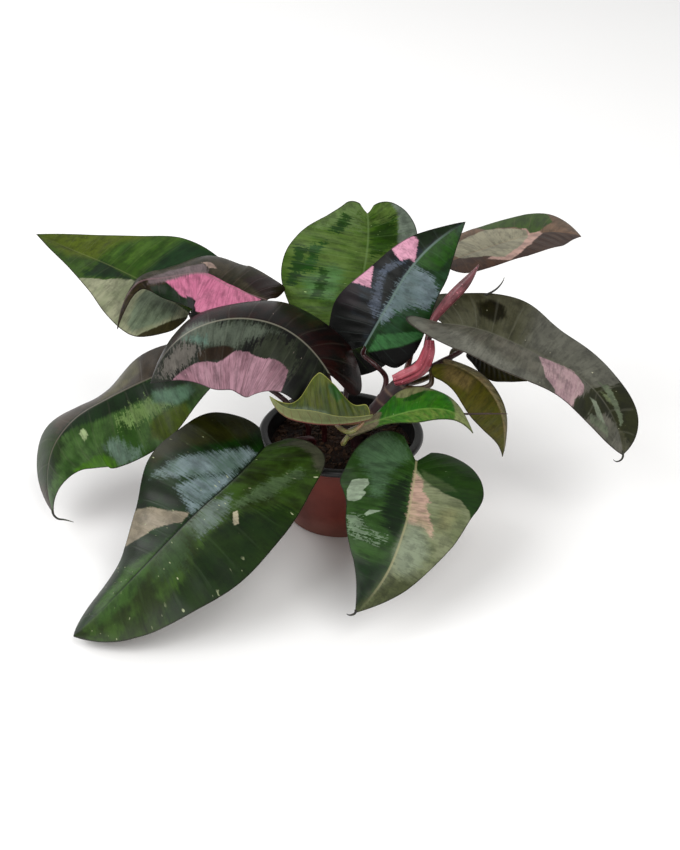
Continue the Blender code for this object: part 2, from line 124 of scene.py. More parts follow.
# the thick stem, and for each stalk the place where it stands in the soil, or how far up the stem it
# grows, and the points, in mm, that it passes on the way to its leaf base
STEM = ((13, -8), (20, -12, 84), (33, -12, 106), (55, -5, 126))
STALKS = {
    "back_left": ((-14, 14), (-54, 44, 96), (-96, 60, 114)),
    "upper_left": ((-4, 22), (-16, 34, 110), (-36, 42, 136)),
    "dark_left": ((-12, -2), (-14, -14, 94), (-8, -32, 120)),
    "left": ((-24, 4), (-46, 8, 92), (-72, 8, 108)),
    "front_left": ((-20, -16), (-28, -25, 75)),
    "front_right": ((24, -28), (32, -40, 75)),
    "back_middle": ((2, 36), (8, 74, 110), (12, 94, 165)),
}
BRANCHES = {
    "small_bright": (0.35, (4, -38, 84)),
    "small_curled": (0.42, (3, -38, 97), (-4, -62, 110)),
    "middle": (0.56, (31, 1, 112), (23, 0, 123)),
    "lower_right": (0.80, (62, -14, 116)),
    "behind_right": (0.82, (62, 5, 112), (76, 12, 121)),
    "right": (0.95, (69, 1, 126), (86, 6, 136)),
    "back_right": (0.90, (50, 14, 136), (57, 42, 163)),
}
NEW_LEAF = ((56.3, -6.6, 127.8), (58, -6, 138), (60, -1, 148), (63, 4, 158), (72, 5, 172), (84, 6, 187),
            (92, 8, 199))
SHEATH = ((36, -16.8, 120), (45, -16.8, 124), (54, -16.8, 130), (58.5, -16.8, 141), (60, -14, 151))
ROOT = (0.50, (50, -24, 101), (66, -35, 107), (82, -46, 111), (98, -52, 115), (113, -55, 117))
# stalks that end flat under the blade instead of in its notch
UNDER_BLADE = ("back_middle", "right", "small_curled")
# radii at equal steps as shares of the first, and the shares of the stem's length where it has scars
STEM_TAPER = (1.0, 1.0, 0.9, 0.8)
STALK_TAPER = (1.06, 1.0, 0.92, 0.86, 0.8, 0.5)
SCARS = (0.34, 0.42, 0.51, 0.61, 0.70, 0.80, 0.89)

# heights in mm that a standing stem passes straight up: its foot in the soil, then up to the pot's rim
STANDING = (46.3, 62.0, 69.0)
# steps of the curves that stalks and branches are joined to
PATH_STATIONS = 200

# the soil's edge, its height there and how much higher its middle is, in mm
SOIL_REACH, SOIL_TOP, SOIL_CROWN = 51.5, 58.0, 3.0

# lateral veins of a half, steps that a rib is worked out in, the thickness of a blade in mm, and the
# leaves that have a coarser grid
VEINS = 13
RIB_STATIONS = 400
RIB_THICKNESS, MARGIN_THICKNESS = 0.75, 0.4
SMALL = ("small_curled", "small_bright", "behind_right")

# screen colours: the dry margin, the rib on the lower face, and both tones of the stalks that aren't burgundy
DRY_RIM = (38, 30, 26)
RIB_BELOW = (104, 62, 58)
STALK_TONES = {
    "small_curled": ((104, 112, 60), (128, 92, 70)),
    "small_bright": ((104, 112, 60), (128, 92, 70)),
    "back_right": ((112, 66, 60), (84, 56, 48)),
    "behind_right": ((70, 62, 40), (62, 46, 36)),
    "lower_right": ((78, 66, 42), (66, 44, 36)),
}
# thin dry ends, in mm: the drip tips of three leaves, and a curl at the right leaf's back edge
CURLED_TIPS = (
    ((-205.6, -44.6, 24), (-205.2, -46.4, 19.6), (-202, -48, 17), (-197, -48.6, 16.6), (-190.5, -49, 15)),
    ((201, -21.4, 70.5), (202.4, -22.2, 66.5), (201.4, -22.6, 63.4), (198.4, -23, 62), (195.6, -23, 63.6)),
    ((12.4, -165.2, 30), (11.9, -166, 27.8), (10, -166.6, 26.9), (8.2, -166.8, 26.8), (6.6, -166.6, 27.6)),
    ((97.5, 43, 158.2), (103, 44, 160), (109, 45, 163.5), (113, 45.5, 168.5), (114.5, 45.5, 173)),
)

# softboxes: share of the power, size, place and target in metres, and colour
SOFTBOXES = {
    "softbox_back": (0.32, 1.1, (-1.3, 1.15, 1.05), (0.0, 0.0, 0.1), (1.0, 1.0, 1.0)),
    "softbox_left": (1.0, 1.6, (-1.6, -1.3, 1.7), (0.0, 0.0, 0.08), (1.0, 1.0, 1.0)),
    "softbox_front": (0.85, 1.6, (0.9, -1.5, 2.0), (0.0, 0.0, 0.08), (1.0, 0.99, 0.97)),
}
# the camera's fall and roll in degrees, distance and target in metres, and its focal length as a share of
# the picture's longer side
CAMERA_PITCH, CAMERA_ROLL, CAMERA_DISTANCE = 30.0, 1.5, 1.15
CAMERA_TARGET = (-0.001, 0.0, 0.073)
CAMERA_FOCUS = 1582.0 / 850.0

# each leaf's skin: the name of its finish; seed; tones of the upper face in its clouds, on both halves or
# on half 0 only, with other_tones on half 1; flecks (colour, share); rib, vein and rim colours and how
# strongly they show; below, the two tones of the lower face; depth of the dappling; arch of a half in
# degrees; wave (height in mm, waves, phase); quilt, the height of the bulges between veins in mm; gloss is
# the roughness; shine and coat
LOOKS = {
    "back_left": dict(
        slot="leaf_green", seed=1.3, tones=((136, 142, 112), (158, 160, 132)),
        other_tones=((54, 80, 30), (72, 100, 42)), flecks=((166, 182, 120), 0.03), rib=(120, 128, 84),
        rib_strength=0.3, below=((92, 84, 62), (66, 58, 42)), arch=7.0, wave=(0.8, 2.0, 0.1), gloss=0.42),
    "upper_left": dict(
        slot="leaf_pink", seed=2.1, tones=((56, 50, 34), (40, 36, 24)),
        other_tones=((68, 62, 50), (48, 46, 32)), rib=(140, 112, 116), rib_strength=0.4,
        below=((84, 62, 46), (58, 40, 32)), arch=12.0, wave=(0.7, 2.0, 0.4), gloss=0.32, shine=0.1),
    "dark_left": dict(
        slot="leaf_dark", seed=3.7, tones=((46, 50, 42), (30, 31, 27)),
        other_tones=((46, 24, 17), (28, 18, 12)), flecks=((150, 134, 128), 0.03), rib=(126, 124, 110),
        below=((70, 48, 46), (44, 34, 32)), arch=13.0, wave=(0.8, 2.0, 0.0), gloss=0.32, shine=0.1),
    "left": dict(
        slot="leaf_olive", seed=4.2, tones=((68, 94, 52), (48, 72, 34)),
        other_tones=((66, 58, 48), (52, 44, 34)), rib=(116, 106, 98), rib_strength=0.5, vein_strength=0.06,
        below=((96, 76, 70), (70, 58, 52)), arch=9.0, wave=(0.9, 2.0, 0.2), gloss=0.36, shine=0.1),
    "front_left": dict(
        slot="leaf_green", seed=5.9, tones=((46, 56, 26), (60, 82, 40)),
        other_tones=((28, 42, 8), (34, 54, 10)), flecks=((170, 176, 140), 0.08), rib=(28, 38, 26),
        rib_strength=0.85, vein=(84, 104, 74), vein_strength=0.07, below=((86, 78, 60), (60, 56, 42)),
        arch=12.0, wave=(1.3, 2.5, 0.3), quilt=0.3, gloss=0.34, coat=0.08, shine=0.12),
    "front_right": dict(
        slot="leaf_green", seed=6.4, tones=((128, 134, 104), (110, 118, 86)),
        other_tones=((56, 82, 44), (44, 66, 30)), flecks=((160, 176, 142), 0.035), rib=(160, 154, 118),
        rib_strength=0.55, vein=(84, 112, 72), below=((96, 90, 66), (74, 66, 48)), arch=12.0,
        wave=(1.0, 2.0, 0.6), gloss=0.4),
    "back_middle": dict(
        slot="leaf_green", seed=7.5, tones=((92, 116, 58), (70, 98, 38)), flecks=((146, 172, 110), 0.05),
        rib=(110, 134, 84), rib_strength=0.5, vein=(96, 130, 78), vein_strength=0.12, depth=0.55,
        below=((96, 104, 66), (76, 84, 50)), arch=8.0, wave=(1.0, 3.0, 0.7), gloss=0.42),
    "right": dict(
        slot="leaf_olive", seed=8.8, tones=((84, 84, 68), (70, 70, 54)),
        other_tones=((102, 100, 90), (86, 86, 76)), flecks=((176, 176, 150), 0.05), rib=(104, 104, 92),
        rib_strength=0.45, vein=(132, 132, 118), vein_strength=0.12, below=((110, 100, 88), (84, 72, 60)),
        arch=8.0, wave=(0.8, 2.0, 0.5), gloss=0.42),
    "middle": dict(
        slot="leaf_dark", seed=9.1, tones=((30, 32, 32), (44, 50, 56)),
        other_tones=((46, 72, 50), (38, 58, 32)), rib=(100, 118, 112), rib_strength=0.8,
        below=((70, 66, 58), (46, 42, 38)), arch=10.0, wave=(0.9, 3.0, 0.1), quilt=0.2, gloss=0.38,
        shine=0.12),
    "back_right": dict(
        slot="leaf_cream", seed=10.6, tones=((118, 94, 76), (100, 82, 66)),
        other_tones=((70, 50, 38), (58, 42, 32)), rib=(150, 124, 104), rib_strength=0.25,
        vein_strength=0.06, below=((112, 82, 64), (88, 66, 52)), arch=5.0, wave=(0.6, 2.0, 0.9), gloss=0.44),
    "small_curled": dict(
        slot="leaf_bright", seed=11.2, tones=((112, 118, 86), (128, 122, 96)),
        other_tones=((80, 88, 22), (58, 72, 16)), rib=(140, 148, 66), rib_strength=0.4,
        below=((128, 132, 92), (104, 112, 78)), rim=(150, 150, 76), arch=6.0, wave=(0.5, 2.0, 0.0),
        gloss=0.4),
    "small_bright": dict(
        slot="leaf_bright", seed=12.9, tones=((46, 102, 32), (60, 112, 38)),
        other_tones=((100, 124, 58), (66, 110, 42)), flecks=((196, 212, 160), 0.03), rib=(120, 152, 78),
        rib_strength=0.4, below=((128, 140, 96), (104, 120, 74)), arch=6.0, wave=(0.5, 2.0, 0.3),
        gloss=0.38),
    "lower_right": dict(
        slot="leaf_olive", seed=13.4, tones=((134, 128, 96), (138, 122, 90)),
        other_tones=((76, 78, 34), (80, 76, 36)), rib=(120, 104, 66), rib_strength=0.4,
        below=((104, 92, 58), (84, 76, 46)), arch=6.0, wave=(0.6, 2.0, 0.2), gloss=0.46),
    "behind_right": dict(
        slot="leaf_olive", seed=14.8, tones=((70, 70, 24), (56, 54, 20)), rib=(110, 100, 50),
        rib_strength=0.4, below=((96, 84, 48), (74, 64, 36)), arch=5.0, wave=(0.4, 2.0, 0.5), gloss=0.46),
}

# the patches on each leaf, from the lowest layer up, some of them painted sheen and some painted shade,
# as noted at each: one colour or two mottled ones, how soft and how ragged the border is in mm, and the
# outline's corners in mm along the rib and across, above 0 on half 0
PATCHES = {
    "back_left": (
        ((62, 88, 36), 0.8, 1.4, (138, -8), (138, 60), (82, 34), (79, 29), (65, 20), (58, 12), (53, 6),
         (47, 4), (42, 4), (34, 1), (20, 2), (6, 3), (-2, 3), (-10, -16), (40, -8)),
        ((86, 100, 36), 5.0, 3.0, (135, 4), (104, 10), (84, 0), (78, -22), (60, -44), (90, -44), (130, -16)),
        ((42, 64, 42), 5.0, 3.0, (46, -10), (40, -52), (-6, -64), (-10, -20), (8, -6)),
        ((30, 58, 10), 2.4, 5.0, (82, 20), (78, 14), (80, -1), (69, -1), (58, 4), (45, 2), (59, 11),
         (67, 19), (78, 26)),
        ((122, 136, 112), 2.2, 3.0, (35, 17), (33, 3), (18, 5), (6, 5), (4, 15), (8, 35), (14, 48),
         (18, 55), (25, 50), (30, 37)),
        ((64, 60, 42), 0.7, 1.2, (15, 64), (7, 38), (2, 20), (-3, 7), (-40, 12), (-40, 70)),
    ),
    "upper_left": (
        (((200, 122, 150), (190, 110, 140)), 0.5, 0.7, (80, 2), (66, -2), (50, -2), (25, -2), (3, 2),
         (8, 10), (19, 14), (35, 30), (41, 32), (71, 17)),
        # painted sheen: the pale grey-mauve patch beside the rib on the far half stands in for the gloss's
        # reflection
        ((118, 104, 106), 1.6, 2.4, (92, 0), (74, -11), (59, -12), (52, -16), (50, -9), (48, -1), (73, 3),
         (93, 4)),
        ((30, 50, 16), 0.8, 1.2, (92, 6), (78, 5), (70, 17), (62, 22), (66, 34), (84, 20)),
        # painted shade: the near-black patch beyond the pink, towards the near margin
        ((20, 22, 14), 0.8, 1.2, (66, 17), (41, 29), (34, 34), (50, 50), (66, 36)),
        ((46, 34, 24), 3.0, 2.0, (24, -14), (18, -34), (-10, -40), (-10, -4), (2, -2)),
        ((170, 146, 134), 0.6, 1.2, (54, -18), (49, -19), (45, -13), (49, -9)),
    ),
    "dark_left": (
        # painted sheen: the grey-green band along the rib stands in for the gloss's reflection
        ((90, 98, 86), 4.0, 10.0, (119, -1), (108, -8), (88, 3), (68, 4), (52, 6), (44, 6), (56, 12),
         (72, 21), (78, 24), (101, 19), (117, 8)),
        ((56, 60, 50), 1.2, 12.0, (60, 20), (50, 8), (34, 8), (20, 18), (20, 30), (44, 30), (62, 27)),
        (((162, 124, 136), (134, 100, 110)), 0.6, 1.6, (146, 19), (128, 24), (113, 27), (95, 33), (89, 31),
         (77, 26), (65, 26), (58, 28), (49, 28), (38, 25), (30, 25), (24, 26), (20, 33), (14, 44),
         (14, 62), (60, 80), (130, 60)),
        # painted sheen: a brighter teal spot within that band
        ((94, 118, 106), 2.4, 8.0, (117, 4), (107, 7), (101, 12), (100, 17), (112, 10)),
        ((52, 44, 26), 1.0, 1.4, (111, 20), (100, 20), (83, 22), (76, 25), (90, 32), (112, 27)),
        ((104, 100, 94), 2.4, 14.0, (150, 6), (136, 4), (122, 4), (112, 12), (110, 19), (124, 24),
         (144, 17)),
    ),
    "left": (
        ((34, 50, 22), 2.2, 2.6, (124, 1), (94, 13), (74, 14), (46, 13), (14, 18), (14, 4), (60, -1),
         (124, -3)),
        ((112, 138, 82), 2.0, 16.0, (76, 19), (63, 17), (49, 15), (34, 20), (34, 26), (49, 28), (61, 28),
         (76, 28)),
        # painted sheen: blue-green grey patch near the leaf base on the near half
        ((92, 124, 100), 2.6, 2.6, (45, 10), (17, 19), (14, 28), (30, 28), (48, 18)),
        ((72, 86, 20), 2.6, 2.6, (55, 30), (42, 27), (24, 30), (22, 46), (50, 48), (60, 42)),
        # painted sheen: pale bluish patch in the middle of the near half
        ((98, 120, 104), 3.4, 9.0, (92, 35), (84, 31), (78, 40), (76, 47), (67, 45), (75, 54), (83, 55),
         (88, 53), (90, 47), (93, 37)),
        ((70, 110, 24), 1.6, 4.0, (142, 31), (121, 36), (98, 41), (90, 48), (90, 64), (142, 64)),
        ((150, 168, 122), 0.6, 2.0, (109, 14), (103, 12), (103, 20), (109, 23)),
        ((44, 60, 8), 5.0, 6.0, (122, -3), (124, 10), (136, 14), (160, 8), (160, -30), (120, -40)),
        ((88, 84, 60), 3.0, 2.4, (85, -3), (70, -26), (60, -40), (50, -40), (50, -14), (66, -2)),
    ),
    "front_left": (
        ((42, 56, 20), 4.0, 8.0, (82, 22), (54, 30), (38, 46), (40, 90), (130, 80), (140, 40), (117, 31),
         (99, 26)),
        ((64, 92, 46), 4.0, 4.0, (165, -9), (131, -12), (111, -2), (124, 6), (144, 12), (169, 10), (173, 8)),
        ((50, 52, 22), 4.0, 4.0, (60, -60), (40, -52), (0, -14), (-30, -10), (-30, -60), (40, -90)),
        # painted sheen: this and the next two pale bluish-grey patches beside the rib, in two mottled tones,
        # are the reflection of a bright light painted into the colour
        (((84, 102, 94), (118, 134, 136)), 3.0, 8.0, (66, -55), (46, -46), (27, -27), (9, -8), (10, -2),
         (24, -2), (36, -5), (52, -22), (56, -30), (63, -44)),
        # painted sheen: second patch of reflection beside the rib
        (((86, 104, 98), (122, 138, 142)), 3.0, 8.0, (66, -28), (47, -18), (33, -2), (47, -1), (61, -1),
         (76, -2), (72, -10)),
        # painted sheen: third patch of reflection, right of the rib
        (((82, 98, 80), (106, 120, 112)), 3.0, 8.0, (86, 2), (64, 1), (50, 9), (62, 19), (72, 21), (88, 18)),
        ((60, 80, 50), 5.0, 14.0, (114, 2), (99, 0), (87, 5), (102, 22), (115, 29), (124, 15), (121, 5)),
        (((128, 120, 102), (144, 134, 116)), 0.8, 2.0, (98, -60), (88, -42), (85, -29), (83, -18),
         (77, -4), (85, -3), (91, -10), (100, -19), (112, -26), (122, -35), (126, -60)),
        ((84, 104, 72), 2.6, 10.0, (55, 17), (28, 22), (8, 33), (12, 38), (39, 32), (57, 21)),
        ((84, 86, 70), 2.4, 4.0, (-4, 10), (-16, 16), (-24, 30), (-12, 56), (4, 60), (2, 42), (-8, 32),
         (-10, 20)),
        ((196, 188, 160), 0.4, 0.8, (61, 22), (58, 24), (66, 33), (69, 31)),
    ),
    "front_right": (
        # painted sheen: the lighter green patch near the base of half 1
        ((80, 108, 78), 4.0, 8.0, (-21, -39), (-23, -20), (-13, -8), (-4, -5), (14, -17), (34, -19),
         (36, -27), (14, -32), (-13, -43)),
        ((28, 50, 10), 3.0, 8.0, (27, -16), (15, -4), (44, -3), (71, 1), (66, -11), (51, -18)),
        ((44, 66, 24), 0.7, 1.2, (9, 1), (-3, -3), (-40, 4), (-40, 70), (60, 70), (38, 44), (31, 42),
         (25, 34), (24, 21), (16, 6)),
        ((76, 94, 60), 1.6, 2.0, (8, 4), (12, 14), (16, 26), (19, 30), (23, 21), (21, 12), (15, 5)),
        (((184, 154, 138), (162, 148, 120)), 0.8, 3.0, (10, -1), (18, 6), (27, 7), (35, 14), (38, 10),
         (52, 18), (60, 21), (55, 12), (56, 2), (51, -1)),
        ((134, 144, 120), 5.0, 3.0, (56, 2), (55, 9), (61, 16), (69, 21), (77, 20), (90, 11), (89, 3),
         (76, -1)),
        ((136, 138, 100), 4.5, 3.0, (40, 21), (35, 27), (35, 33), (50, 29), (53, 22)),
        ((30, 52, 14), 5.0, 4.0, (86, -1), (96, -30), (110, -30), (130, -10), (130, 0), (100, 0)),
        ((86, 92, 64), 4.0, 3.0, (94, 0), (84, 30), (100, 40), (130, 20), (130, -2)),
        ((164, 182, 156), 0.4, 0.8, (17, -43), (18, -32), (25, -30), (30, -34), (32, -31), (38, -34),
         (40, -38), (38, -44), (28, -46)),
        ((118, 138, 112), 1.0, 14.0, (57, -40), (56, -31), (69, -27), (72, -22), (69, -9), (74, -14),
         (76, -28), (72, -38)),
        ((152, 170, 146), 0.5, 1.0, (55, -29), (50, -26), (49, -17), (53, -23), (57, -27)),
    ),
    "back_middle": (
        ((86, 126, 72), 5.0, 8.0, (59, -46), (43, -22), (45, -15), (68, -17), (71, -36)),
        ((44, 82, 12), 2.0, 12.0, (52, -57), (42, -44), (30, -43), (23, -31), (33, -33), (37, -36),
         (50, -38), (60, -50)),
        ((54, 82, 18), 2.2, 10.0, (32, 3), (18, 2), (8, 4), (4, 22), (18, 22), (28, 12)),
        ((130, 144, 128), 1.4, 2.6, (-14, 14), (2, 22), (10, 22), (18, 22), (23, 24), (34, 50), (-10, 60)),
        ((104, 128, 76), 2.0, 16.0, (12, -6), (12, -40), (-20, -40), (-20, -4)),
        ((46, 76, 20), 1.2, 8.0, (66, -56), (65, -49), (48, -46), (32, -45), (30, -54)),
        ((46, 76, 20), 1.2, 8.0, (72, -35), (70, -26), (50, -25), (47, -32)),
        ((48, 78, 22), 1.2, 8.0, (14, -30), (16, -21), (2, -11), (-3, -17)),
        # painted shadow: the dark end of the leaf, where the leaves in front shade it
        ((28, 32, 22), 8.0, 4.0, (100, -60), (97, 0), (100, 60), (170, 60), (170, -60)),
    ),
    "right": (
        ((44, 44, 18), 2.4, 3.0, (24, 26), (31, 35), (40, 32), (42, 21), (36, 10), (26, 14)),
        # painted sheen: the light grey patch near the base of half 1
        ((118, 118, 108), 6.0, 4.0, (-30, -34), (-30, -10), (9, -8), (28, -22), (57, -28), (78, -34),
         (59, -46), (0, -50)),
        # painted sheen: the grey over the outer part of half 0
        ((104, 104, 94), 8.0, 4.0, (60, 60), (60, 0), (100, -2), (150, 2), (150, 60)),
        (((182, 154, 156), (166, 136, 142)), 0.6, 1.4, (72, -3), (83, 0), (99, 1), (111, -6), (113, -14),
         (109, -26), (112, -33), (112, -60), (92, -60), (91, -36), (81, -28)),
        ((52, 54, 34), 1.8, 5.0, (109, -24), (114, -13), (116, -2), (129, 19), (134, 40), (170, 40),
         (170, 8), (152, 0), (138, -5), (129, -23), (116, -40), (113, -40)),
        ((132, 142, 122), 0.6, 1.0, (119, -10), (125, -7), (144, -12), (134, -15)),
        ((112, 122, 90), 1.0, 2.4, (124, 3), (132, 9), (139, 6), (132, 3)),
        ((104, 114, 92), 0.8, 3.0, (118, 8), (126, 13), (150, 7), (152, 3)),
        ((110, 118, 98), 0.8, 3.0, (126, -20), (133, -23), (152, -14), (146, -10)),
    ),
    "middle": (
        ((46, 42, 44), 3.0, 2.0, (11, 40), (34, 36), (34, 26), (24, 18), (11, 24)),
        # painted shade: the near-black left lobe at the leaf base
        ((12, 18, 13), 2.4, 3.0, (14, 60), (16, 14), (20, 6), (-30, -1), (-30, 60)),
        # painted sheen: a blue-grey strip on half 0
        ((84, 92, 106), 1.8, 8.0, (42, 16), (55, 17), (62, 11), (66, 6), (52, 12), (38, 9), (31, 4),
         (22, 4), (26, 11), (36, 13)),
        ((18, 28, 24), 1.0, 2.0, (53, 12), (62, 6), (56, 1), (35, 2), (31, 4), (41, 8), (47, 10)),
        # painted sheen: the large blue-grey patch on half 1, in two mottled tones
        (((92, 108, 108), (112, 128, 134)), 2.0, 8.0, (24, 1), (45, 1), (66, 0), (68, -3), (68, -8),
         (70, -18), (62, -28), (46, -26), (39, -14), (32, -7), (20, -3)),
        ((46, 80, 24), 1.2, 2.4, (70, 0), (80, 1), (90, 0), (108, 1), (102, -17), (88, -15), (77, -17),
         (70, -6)),
        ((36, 46, 20), 1.6, 2.0, (85, 18), (96, 10), (112, 2), (108, -1), (92, 1), (79, 2), (79, 14)),
        (((214, 156, 178), (206, 148, 170)), 0.6, 1.8, (70, 26), (84, 20), (82, 9), (69, 0), (69, 5),
         (64, 9), (66, 16)),
        (((214, 158, 178), (206, 150, 172)), 0.6, 2.2, (33, 36), (38, 44), (54, 36), (52, 24), (38, 17),
         (37, 22), (36, 27)),
        ((66, 112, 68), 1.0, 2.0, (12, -4), (28, -28), (28, -34), (13, -23), (-3, -4)),
        # painted shadow: the black under the folded lobe at the base of half 1
        ((8, 12, 8), 1.0, 1.0, (13, -23), (28, -36), (20, -60), (-20, -50), (-12, -4), (-3, -4)),
    ),
    "back_right": (
        ((186, 152, 140), 0.8, 1.2, (76, 6), (76, -3), (57, -26), (42, -35), (29, -39), (18, -22),
         (32, -20), (51, -14), (62, 6), (68, 16)),
        ((150, 146, 124), 0.7, 1.2, (20, 24), (27, 28), (48, 34), (59, 23), (68, 9), (64, -5), (50, -22),
         (29, -31), (22, -18), (8, -4), (6, 14)),
        ((62, 84, 36), 0.6, 1.2, (44, 60), (47, 34), (60, 25), (69, 12), (68, 2), (75, 2), (92, 20),
         (96, 60)),
    ),
    "small_curled": (
        ((46, 84, 20), 1.2, 2.0, (28, -26), (20, -27), (15, -17), (21, -14), (25, -20)),
        ((94, 108, 84), 1.6, 2.0, (82, 4), (63, -5), (44, -10), (30, -8), (20, 2), (30, 14), (60, 14),
         (82, 8)),
    ),
    "small_bright": (
        ((132, 124, 98), 1.0, 1.6, (-16, -20), (-16, 24), (14, 24), (24, 10), (20, -4), (8, -12)),
        ((124, 128, 90), 1.0, 1.6, (36, 50), (38, 24), (46, 18), (56, 24), (66, 30), (66, 50)),
        ((20, 78, 14), 1.0, 2.2, (40, 17), (58, 27), (54, 18), (46, 12)),
        ((140, 150, 98), 1.2, 1.6, (64, 40), (66, 26), (72, 10), (76, -6), (100, -6), (92, 40)),
    ),
    "lower_right": (
        ((112, 98, 62), 4.0, 2.0, (0, 0), (24, -2), (24, -16), (2, -20)),
        ((62, 66, 24), 6.0, 3.0, (40, 4), (100, 2), (100, 40), (50, 40)),
    ),
    "behind_right": (
        # painted shadow: the dark base of the leaf, shaded by the leaf in front
        ((40, 40, 24), 4.0, 3.0, (-20, -40), (15, -40), (12, 40), (-20, 40)),
    ),
}

# ---------------------------------------------------------------- shapes


def cubic(x, low, high, leaving, arriving):
    """Cubic from low to high while x goes from 0 to 1, with the two slopes at its ends."""
    return ((1 + 2 * x) * (1 - x) ** 2 * low + x * (1 - x) ** 2 * leaving
            + x * x * (3 - 2 * x) * high + x * x * (x - 1) * arriving)


def smooth_curve(points, count):
    """Curve through the points, a cubic on each stretch with the slopes of its neighbours.

    Returns count points in equal steps, and the curve's length.
    """
    p = np.asarray(points, float)
    knots = np.concatenate([[0.0], np.cumsum(np.linalg.norm(np.diff(p, axis=0), axis=1) ** 0.5)])
    slope = np.gradient(p, knots, axis=0, edge_order=2)
    t = np.linspace(0.0, knots[-1], 80 * len(p))
    i = np.clip(np.searchsorted(knots, t, side="right") - 1, 0, len(p) - 2)
    step = (knots[i + 1] - knots[i])[:, None]
    curve = cubic((t - knots[i])[:, None] / step, p[i], p[i + 1], step * slope[i], step * slope[i + 1])
    along = np.concatenate([[0.0], np.cumsum(np.linalg.norm(np.diff(curve, axis=0), axis=1))])
    steps = np.linspace(0.0, along[-1], count)
    return np.stack([np.interp(steps, along, curve[:, j]) for j in range(p.shape[1])], 1), along[-1]


def smooth_steps(values, share):
    """Values at equal steps, joined by a smooth curve: each stretch is a cubic."""
    values = np.asarray(values, float)
    at = np.clip(share, 0.0, 1.0) * (len(values) - 1)
    low = np.minimum(at.astype(int), len(values) - 2)
    slope = np.gradient(values)
    return cubic(at - low, values[low], values[low + 1], slope[low], slope[low + 1])


def unit(directions):
    """The same directions, each with length 1."""
    return directions / np.linalg.norm(directions, axis=-1, keepdims=True)


def turned(a, b, angle):
    """Two coordinates, or two directions, turned by an angle from the first towards the second."""
    return a * np.cos(angle) - b * np.sin(angle), a * np.sin(angle) + b * np.cos(angle)


def make_piece(name, points, faces, material, nodes, smooth=60.0, fields=None):
    """Mesh object from points in mm, faces and vector fields, on the root, standing for CAD nodes."""
    mesh = bpy.data.meshes.new(name)
    mesh.from_pydata((np.asarray(points, float) * MM).tolist(), [], faces)
    for field, values in (fields or {}).items():
        data = mesh.attributes.new(field, "FLOAT_VECTOR", "POINT").data
        data.foreach_set("vector", values.astype(np.float32).ravel())
    mesh.materials.append(material)
    mesh.polygons.foreach_set("use_smooth", [True] * len(mesh.polygons))
    mesh.set_sharp_from_angle(angle=math.radians(smooth))
    mesh.update()
    piece = bpy.data.objects.new(name, mesh)
    bpy.context.scene.collection.objects.link(piece)
    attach(piece, "root")
    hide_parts(*nodes)
    return piece


def grid_quads(index, turn=False):
    """Faces between neighbours of a grid of point numbers; turn swaps the side they face."""
    a, b, c, d = index[:-1, :-1], index[:-1, 1:], index[1:, 1:], index[1:, :-1]
    corners = (a, d, c, b) if turn else (a, b, c, d)
    return np.stack([corner.ravel() for corner in corners], 1).tolist()


def fan(middle, ring, turn=False):
    """Triangles from a middle point to neighbours on a ring of point numbers; turn swaps the side."""
    a, b = (ring[1:], ring[:-1]) if turn else (ring[:-1], ring[1:])
    return [(middle, *pair) for pair in zip(a.tolist(), b.tolist())]


def ring_index(rings, sides):
    """Point numbers of a stack of rings; the first column comes again at the end and closes them."""
    index = np.arange(rings * sides).reshape(rings, sides)
    return np.concatenate([index, index[:, :1]], 1)


def closed_stack(rings, sides):
    """Faces of a stack of rings with a fan at each end, whose middles are the last two points."""
    index = ring_index(rings, sides)
    return grid_quads(index) + fan(rings * sides, index[0], True) + fan(rings * sides + 1, index[-1])


def lathe_mesh(profile, segments):
    """Solid of revolution: each (radius, z) of the profile turned about z; both ends lie on the axis."""
    profile = np.asarray(profile, float)
    turn = np.linspace(0.0, 2 * math.pi, segments, endpoint=False)
    rings = profile[1:-1]
    points = np.stack([rings[:, :1] * np.cos(turn), rings[:, :1] * np.sin(turn),
                       np.repeat(rings[:, 1:], segments, 1)], -1).reshape(-1, 3)
    points = np.concatenate([points, [(0, 0, profile[0, 1]), (0, 0, profile[-1, 1])]])
    return points, closed_stack(len(rings), segments)


def arc(centre, radius, start, end, count):
    """Points (radius, z) on a part of a circle, from one angle to another in degrees."""
    turn = np.radians(np.linspace(start, end, count))
    return [(centre[0] + radius * math.cos(t), centre[1] + radius * math.sin(t)) for t in turn]


def tube_mesh(path, radii, rings, sides, skin=None, marks=None):
    """Round rod: circles of sides points on rings along the path, closed by a fan at each end.

    The radius runs smoothly through radii. skin(share, turn) gives a factor for each point's radius,
    from its share of the length and its angle, which makes ribs, rings and grooves. The circles keep
    their turn from one ring to the next by sliding the first spoke along the path. The third result
    holds the distance along, the angle, and marks(share) where it is given.
    """
    centre, length = smooth_curve(path, rings)
    ahead = unit(np.gradient(centre, axis=0))
    spoke = np.empty_like(ahead)
    first = np.cross(ahead[0], (0.0, 1.0, 0.2))
    for k in range(rings):
        first = unit(first - ahead[k] * (first @ ahead[k]))
        spoke[k] = first
    other = np.cross(ahead, spoke)
    share = np.linspace(0.0, 1.0, rings)
    turn = np.linspace(0.0, 2 * math.pi, sides, endpoint=False)
    radius = smooth_steps(radii, share)[:, None] * np.ones(sides)
    if skin is not None:
        radius = radius * skin(share[:, None], turn[None, :])
    points = (centre[:, None] + spoke[:, None] * (radius * np.cos(turn))[..., None]
              + other[:, None] * (radius * np.sin(turn))[..., None]).reshape(-1, 3)
    points = np.concatenate([points, centre[:1], centre[-1:]])
    marked = marks(share) if marks else np.zeros(rings)
    place = np.stack([np.repeat(share, sides) * length, np.tile(turn, rings), np.repeat(marked, sides)], 1)
    place = np.concatenate([place, [(0, 0, 0), (length, 0, 0)]])
    return points, closed_stack(rings, sides), place


